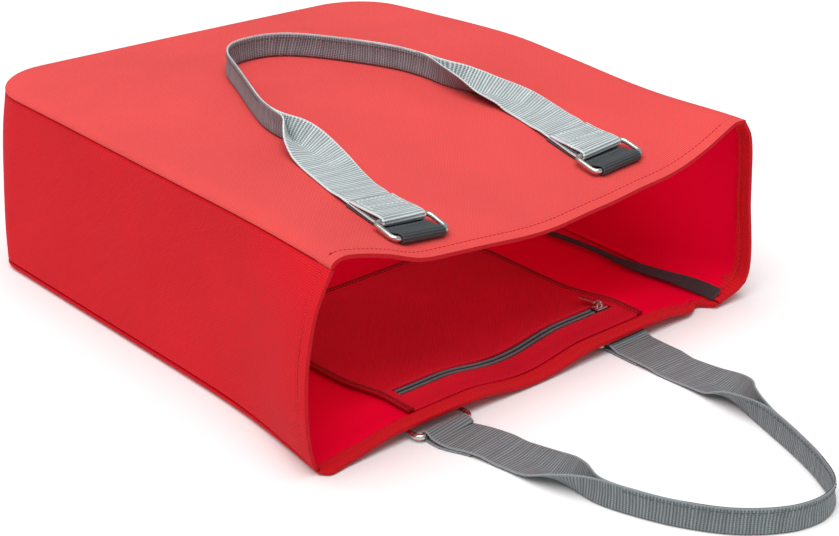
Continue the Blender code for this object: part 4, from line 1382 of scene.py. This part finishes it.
class BAG_OT_zip(bpy.types.Operator):
    """Zip tape, coil teeth, slider and pull"""

    bl_idname = "bag.zip"
    bl_label = "Zip"

    def execute(self, context):
        trim = context.scene.bag_trim
        half = POCKET_WIDTH / 2 - POCKET_BAND + LAYER_GAP - 0.0005
        grid = []
        for a in spread(ZIP_FROM_MOUTH - ZIP_TAPE_WIDTH / 2, ZIP_FROM_MOUTH + ZIP_TAPE_WIDTH / 2,
                        0.002):
            grid.append([(Vector((x + POCKET_SHIFT, MOUTH_Y + a,
                                  back_inner(x + POCKET_SHIFT, a) + POCKET_GAP)), (x, a))
                         for x in spread(-half, half, 0.003)])
        tape = plain_tape("grey_zip_tape", trim.zip_tape, 0.0012)
        obj = sheet_mesh("zip_band", [grid], [tape], lambda centre: UP)
        thicken(obj, ZIP_TAPE_THICKNESS, 1.0)
        placed(obj, "bag", "zip_tape", "zip_tape")

        slider_x = POCKET_SHIFT + POCKET_WIDTH / 2 - SLIDER_FROM_EDGE
        start = -POCKET_WIDTH / 2 + ZIP_END_MARGIN + 0.001 + POCKET_SHIFT
        end = slider_x - SLIDER_LENGTH / 2
        lines = []
        for i in range(int((end - start) / COIL_PITCH)):
            x = start + COIL_PITCH * i
            for side in (LEFT, RIGHT):
                reach = (COIL_WIDTH * 0.78, COIL_WIDTH * 0.20)
                shift = 0.0 if side == LEFT else COIL_PITCH / 2
                line = []
                for out in reach:
                    a = ZIP_FROM_MOUTH + side * out
                    z = zip_top(x, a) + COIL_HEIGHT / 2 - 0.0002
                    line.append((Vector((x + shift, MOUTH_Y + a, z)), UP))
                lines.append(line)
        nylon = moulded_nylon("grey_nylon_coil", linear("5C6265"))
        length = COIL_WIDTH * 0.58
        stretched = []
        for (low, up), (high, same) in lines:
            middle, along = (low + high) / 2, (high - low).normalized()
            stretched.append([(middle - along * length * 0.64, up),
                              (middle + along * length * 0.66, up)])
        obj = stitch_mesh("zip_teeth", stretched, nylon, "bag", "zip_coil", length, 0.00062)
        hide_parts("zip_coil")

        for name in ("zip_slider", "zip_pull"):
            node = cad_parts[name]
            node.data.materials.clear()
            node.data.materials.append(nickel())
        return {"FINISHED"}


class BAG_OT_tabs(bpy.types.Operator):
    """Short webs sewn to the panels and folded round the rings"""

    bl_idname = "bag.tabs"
    bl_label = "Tabs"

    def execute(self, context):
        trim = context.scene.bag_trim
        web = ribbed_webbing("slate_grey_webbing", trim.tab, trim.rib * 0.8)
        lines = []
        across = spread(-WEB_WIDTH / 2, WEB_WIDTH / 2, 0.0026)
        across[1:1] = [across[0] + 0.0005]
        across[-1:-1] = [across[-1] - 0.0005]
        for corner, side, front in CORNERS:
            bar = ring_ends(side, front)[0][0]
            length = TAB_LENGTH if front else TAB_LENGTH * BACK_TAB_SHARE
            path = tab_path(length, TAB_RETURN)
            grid = []
            for (along, rise), run in zip(path, lengths(path)):
                a = bar + along
                row = []
                for c in across:
                    x = tab_x(side, front) + c
                    if front:
                        z = front_bed(side, x, a, bar) + TAB_HEIGHT + rise
                    else:
                        z = back_lift(tab_x(side, front), a) - TAB_HEIGHT - rise
                    row.append((Vector((x, MOUTH_Y + a, z)), (c, run)))
                grid.append(row)
            obj = web_mesh("tab_web_" + corner, grid, [web])
            placed(obj, "bag", "tab_webbing", "tab_" + corner)
            runs = [[(i, c) for c in across[2:-2]] for i in (len(grid) - 3, 14)]
            runs += [[(i, c) for i in range(12)] for c in (across[2], across[-3])]
            lines += [line_on_web(grid, cells, WEB_THICKNESS / 2, UP if front else -UP)
                      for cells in runs]
        thread = spun_thread("grey_polyester_thread", linear("5C666A"))
        sew("tab_stitches", lines, thread, "tab_webbing")
        return {"FINISHED"}


class BAG_OT_rings(bpy.types.Operator):
    """Rectangular wire rings between tabs and handles"""

    bl_idname = "bag.rings"
    bl_label = "Rings"

    def execute(self, context):
        radius = RING_CORNER_RADIUS
        half = RING_INNER_WIDTH / 2 + RING_WIRE / 2 - radius
        near, far = radius, RING_BAR_SPACING - radius
        flat = []
        for across, middle, start in ((-half, near, 180), (half, near, 270), (half, far, 0),
                                      (-half, far, 90)):
            for i in range(11):
                turn = math.radians(start + 9 * i)
                flat.append((across + radius * math.cos(turn), middle + radius * math.sin(turn)))
        for corner, side, front in CORNERS:
            (tab_bar, tab_z), (web_bar, web_z) = ring_ends(side, front)
            direction = 1 if web_bar > tab_bar else -1
            points = []
            for p, q in flat:
                share = q / RING_BAR_SPACING
                x = tab_x(side, front) + p
                height = tab_z + (web_z - tab_z) * share
                if front:
                    low, high = (front_bed(side, x, bar, bar) for bar in (tab_bar, web_bar))
                    height += low + (high - low) * share
                points.append(Vector((x, MOUTH_Y + tab_bar + direction * q, height)))
            obj = tube_mesh("wire_ring_" + corner, points, RING_WIRE / 2, 20, [nickel()])
            placed(obj, "bag", "ring_metal", "ring_" + corner)
        return {"FINISHED"}


class BAG_OT_handles(bpy.types.Operator):
    """Two long webs, flat at the rings and folded lengthwise to a grip between"""

    bl_idname = "bag.handles"
    bl_label = "Handles"

    def execute(self, context):
        trim = context.scene.bag_trim
        lines, grip_lines = [], []
        for face, front, rows in (("front", True, FRONT_HANDLE_ROWS),
                                  ("back", False, BACK_HANDLE_ROWS)):
            grid = handle_grid(front, rows)
            run = (grid[-1][0][1][1] + grid[-1][-1][1][1]) / 2
            # The web's underside takes the darker grip colour, which is painted shade on the
            # outward faces of the standing grip; the turned-over ends keep the plain webbing
            # colour on both faces.
            sides = {"face": trim.webbing, "grip": trim.grip}
            # The lower handle takes the darker webbing colour, which is painted shade.
            if not front:
                sides = {"lower": trim.back_webbing_painted_shade}
            webs = [ribbed_webbing("blue_grey_webbing_" + side, colour, trim.rib)
                    for side, colour in sides.items()]
            if front:
                webs += [webs[0], webs[0]]
            obj = web_mesh("handle_web_" + face, grid, webs)
            if front:
                turned = grid[len(handle_end(front)) - 1][0][1][1]
                layer = obj.data.uv_layers[0].data
                for polygon in obj.data.polygons:
                    place = layer[polygon.loop_start].uv[1]
                    if min(place, run - place) < turned:
                        polygon.material_index = 2
            placed(obj, "bag", "handle_webbing", "handle_" + face)
            count = len(grid)
            lift = WEB_THICKNESS / 2
            reach = WEB_WIDTH / 2 - 0.004
            for first, way in ((0, 1), (count - 1, -1)) if front else ():
                box = [[(first + way * i, c) for c in spread(-reach, reach, 0.004)]
                       for i in (1, 6)]
                box += [[(first + way * i, c) for i in range(1, 9)] for c in (-reach, reach)]
                lines += [line_on_web(grid, cells, lift, UP) for cells in box]
            grip = [i for i in range(count) if GRIP_START < grid[i][0][1][1] / run < GRIP_END]
            for c in (-WEB_WIDTH / 2 + 0.0034, WEB_WIDTH / 2 - 0.0034):
                for sign in (1, -1):
                    line = line_on_web(grid, [(i, c) for i in grip], 0.0)
                    grip_lines.append([(p + n * sign * lift, n * sign) for p, n in line])
        for name, runs, colour in (("handle_stitches", lines, "D8E0E2"),
                                   ("grip_stitches", grip_lines, "5C6467")):
            thread = spun_thread("grey_thread_of_" + name, linear(colour))
            sew(name, runs, thread, "handle_webbing")
        return {"FINISHED"}


class BAG_OT_stage(bpy.types.Operator):
    """Pale floor, soft studio light and the camera"""

    bl_idname = "bag.stage"
    bl_label = "Stage"

    def execute(self, context):
        stage = context.scene.bag_stage
        work = bmesh.new()
        bmesh.ops.create_grid(work, x_segments=1, y_segments=1, size=FLOOR_SIZE)
        floor = finish_mesh("studio_floor", work, [painted_floor("pale_floor", stage.floor)])
        floor.location.z = -FLOOR_DROP

        world = bpy.data.worlds.new("studio_room")
        world.use_nodes = True
        background = world.node_tree.nodes["Background"]
        background.inputs["Color"].default_value = (1.0, 1.0, 1.0, 1.0)
        background.inputs["Strength"].default_value = stage.sky
        context.scene.world = world
        context.scene.view_settings.view_transform = "Standard"

        overhead = bpy.data.lights.new("overhead_softbox", "SUN")
        overhead.angle = math.radians(60)
        overhead.energy = stage.overhead
        aimed(overhead, (-0.28, -0.12, 1.0), (0, 0, 0)).visible_camera = False
        for name, energy, size, place, target in (
            ("mouth_softbox", stage.fill, (0.34, 0.05), (0, -0.205, 0.060), (0, 0.1, 0.12)),
            ("light_through_the_cloth", stage.inner, (0.32, 0.24), (0, 0.07, 0.125),
             (0, 0.071, 0)),
        ):
            light = bpy.data.lights.new(name, "AREA")
            light.shape = "RECTANGLE"
            light.size, light.size_y = size
            light.energy = energy
            aimed(light, place, target).visible_camera = False

        camera = bpy.data.cameras.new("photo_camera")
        camera.lens = CAMERA_LENS
        camera.sensor_fit = "HORIZONTAL"
        camera.sensor_width = 36.0
        camera.clip_start = 0.05
        context.scene.camera = aimed(camera, CAMERA_PLACE, CAMERA_TARGET)
        return {"FINISHED"}


class BAG_PT_pieces(bpy.types.Panel):
    """Buttons and settings of the bag"""

    bl_idname = "BAG_PT_pieces"
    bl_label = "Shopper bag"
    bl_space_type = "VIEW_3D"
    bl_region_type = "UI"
    bl_category = "Bag"

    def draw(self, context):
        layout = self.layout
        for group in (context.scene.bag_cloth, context.scene.bag_trim, context.scene.bag_stage):
            box = layout.box()
            for key in group.__annotations__:
                box.prop(group, key)
        for operator in OPERATORS:
            layout.operator(operator.bl_idname)


OPERATORS = (BAG_OT_panels, BAG_OT_gusset, BAG_OT_pocket, BAG_OT_zip, BAG_OT_tabs, BAG_OT_rings,
             BAG_OT_handles, BAG_OT_stage)
CLASSES = (BagCloth, BagTrim, BagStage) + OPERATORS + (BAG_PT_pieces,)


def register():
    for entry in CLASSES:
        bpy.utils.register_class(entry)
    bpy.types.Scene.bag_cloth = PointerProperty(type=BagCloth)
    bpy.types.Scene.bag_trim = PointerProperty(type=BagTrim)
    bpy.types.Scene.bag_stage = PointerProperty(type=BagStage)


def unregister():
    del bpy.types.Scene.bag_stage
    del bpy.types.Scene.bag_trim
    del bpy.types.Scene.bag_cloth
    for entry in reversed(CLASSES):
        bpy.utils.unregister_class(entry)


def main():
    register()
    bpy.ops.bag.panels()
    bpy.ops.bag.gusset()
    bpy.ops.bag.pocket()
    bpy.ops.bag.zip()
    bpy.ops.bag.tabs()
    bpy.ops.bag.rings()
    bpy.ops.bag.handles()
    bpy.ops.bag.stage()
    bpy.context.view_layer.update()


if __name__ == "__main__":
    main()
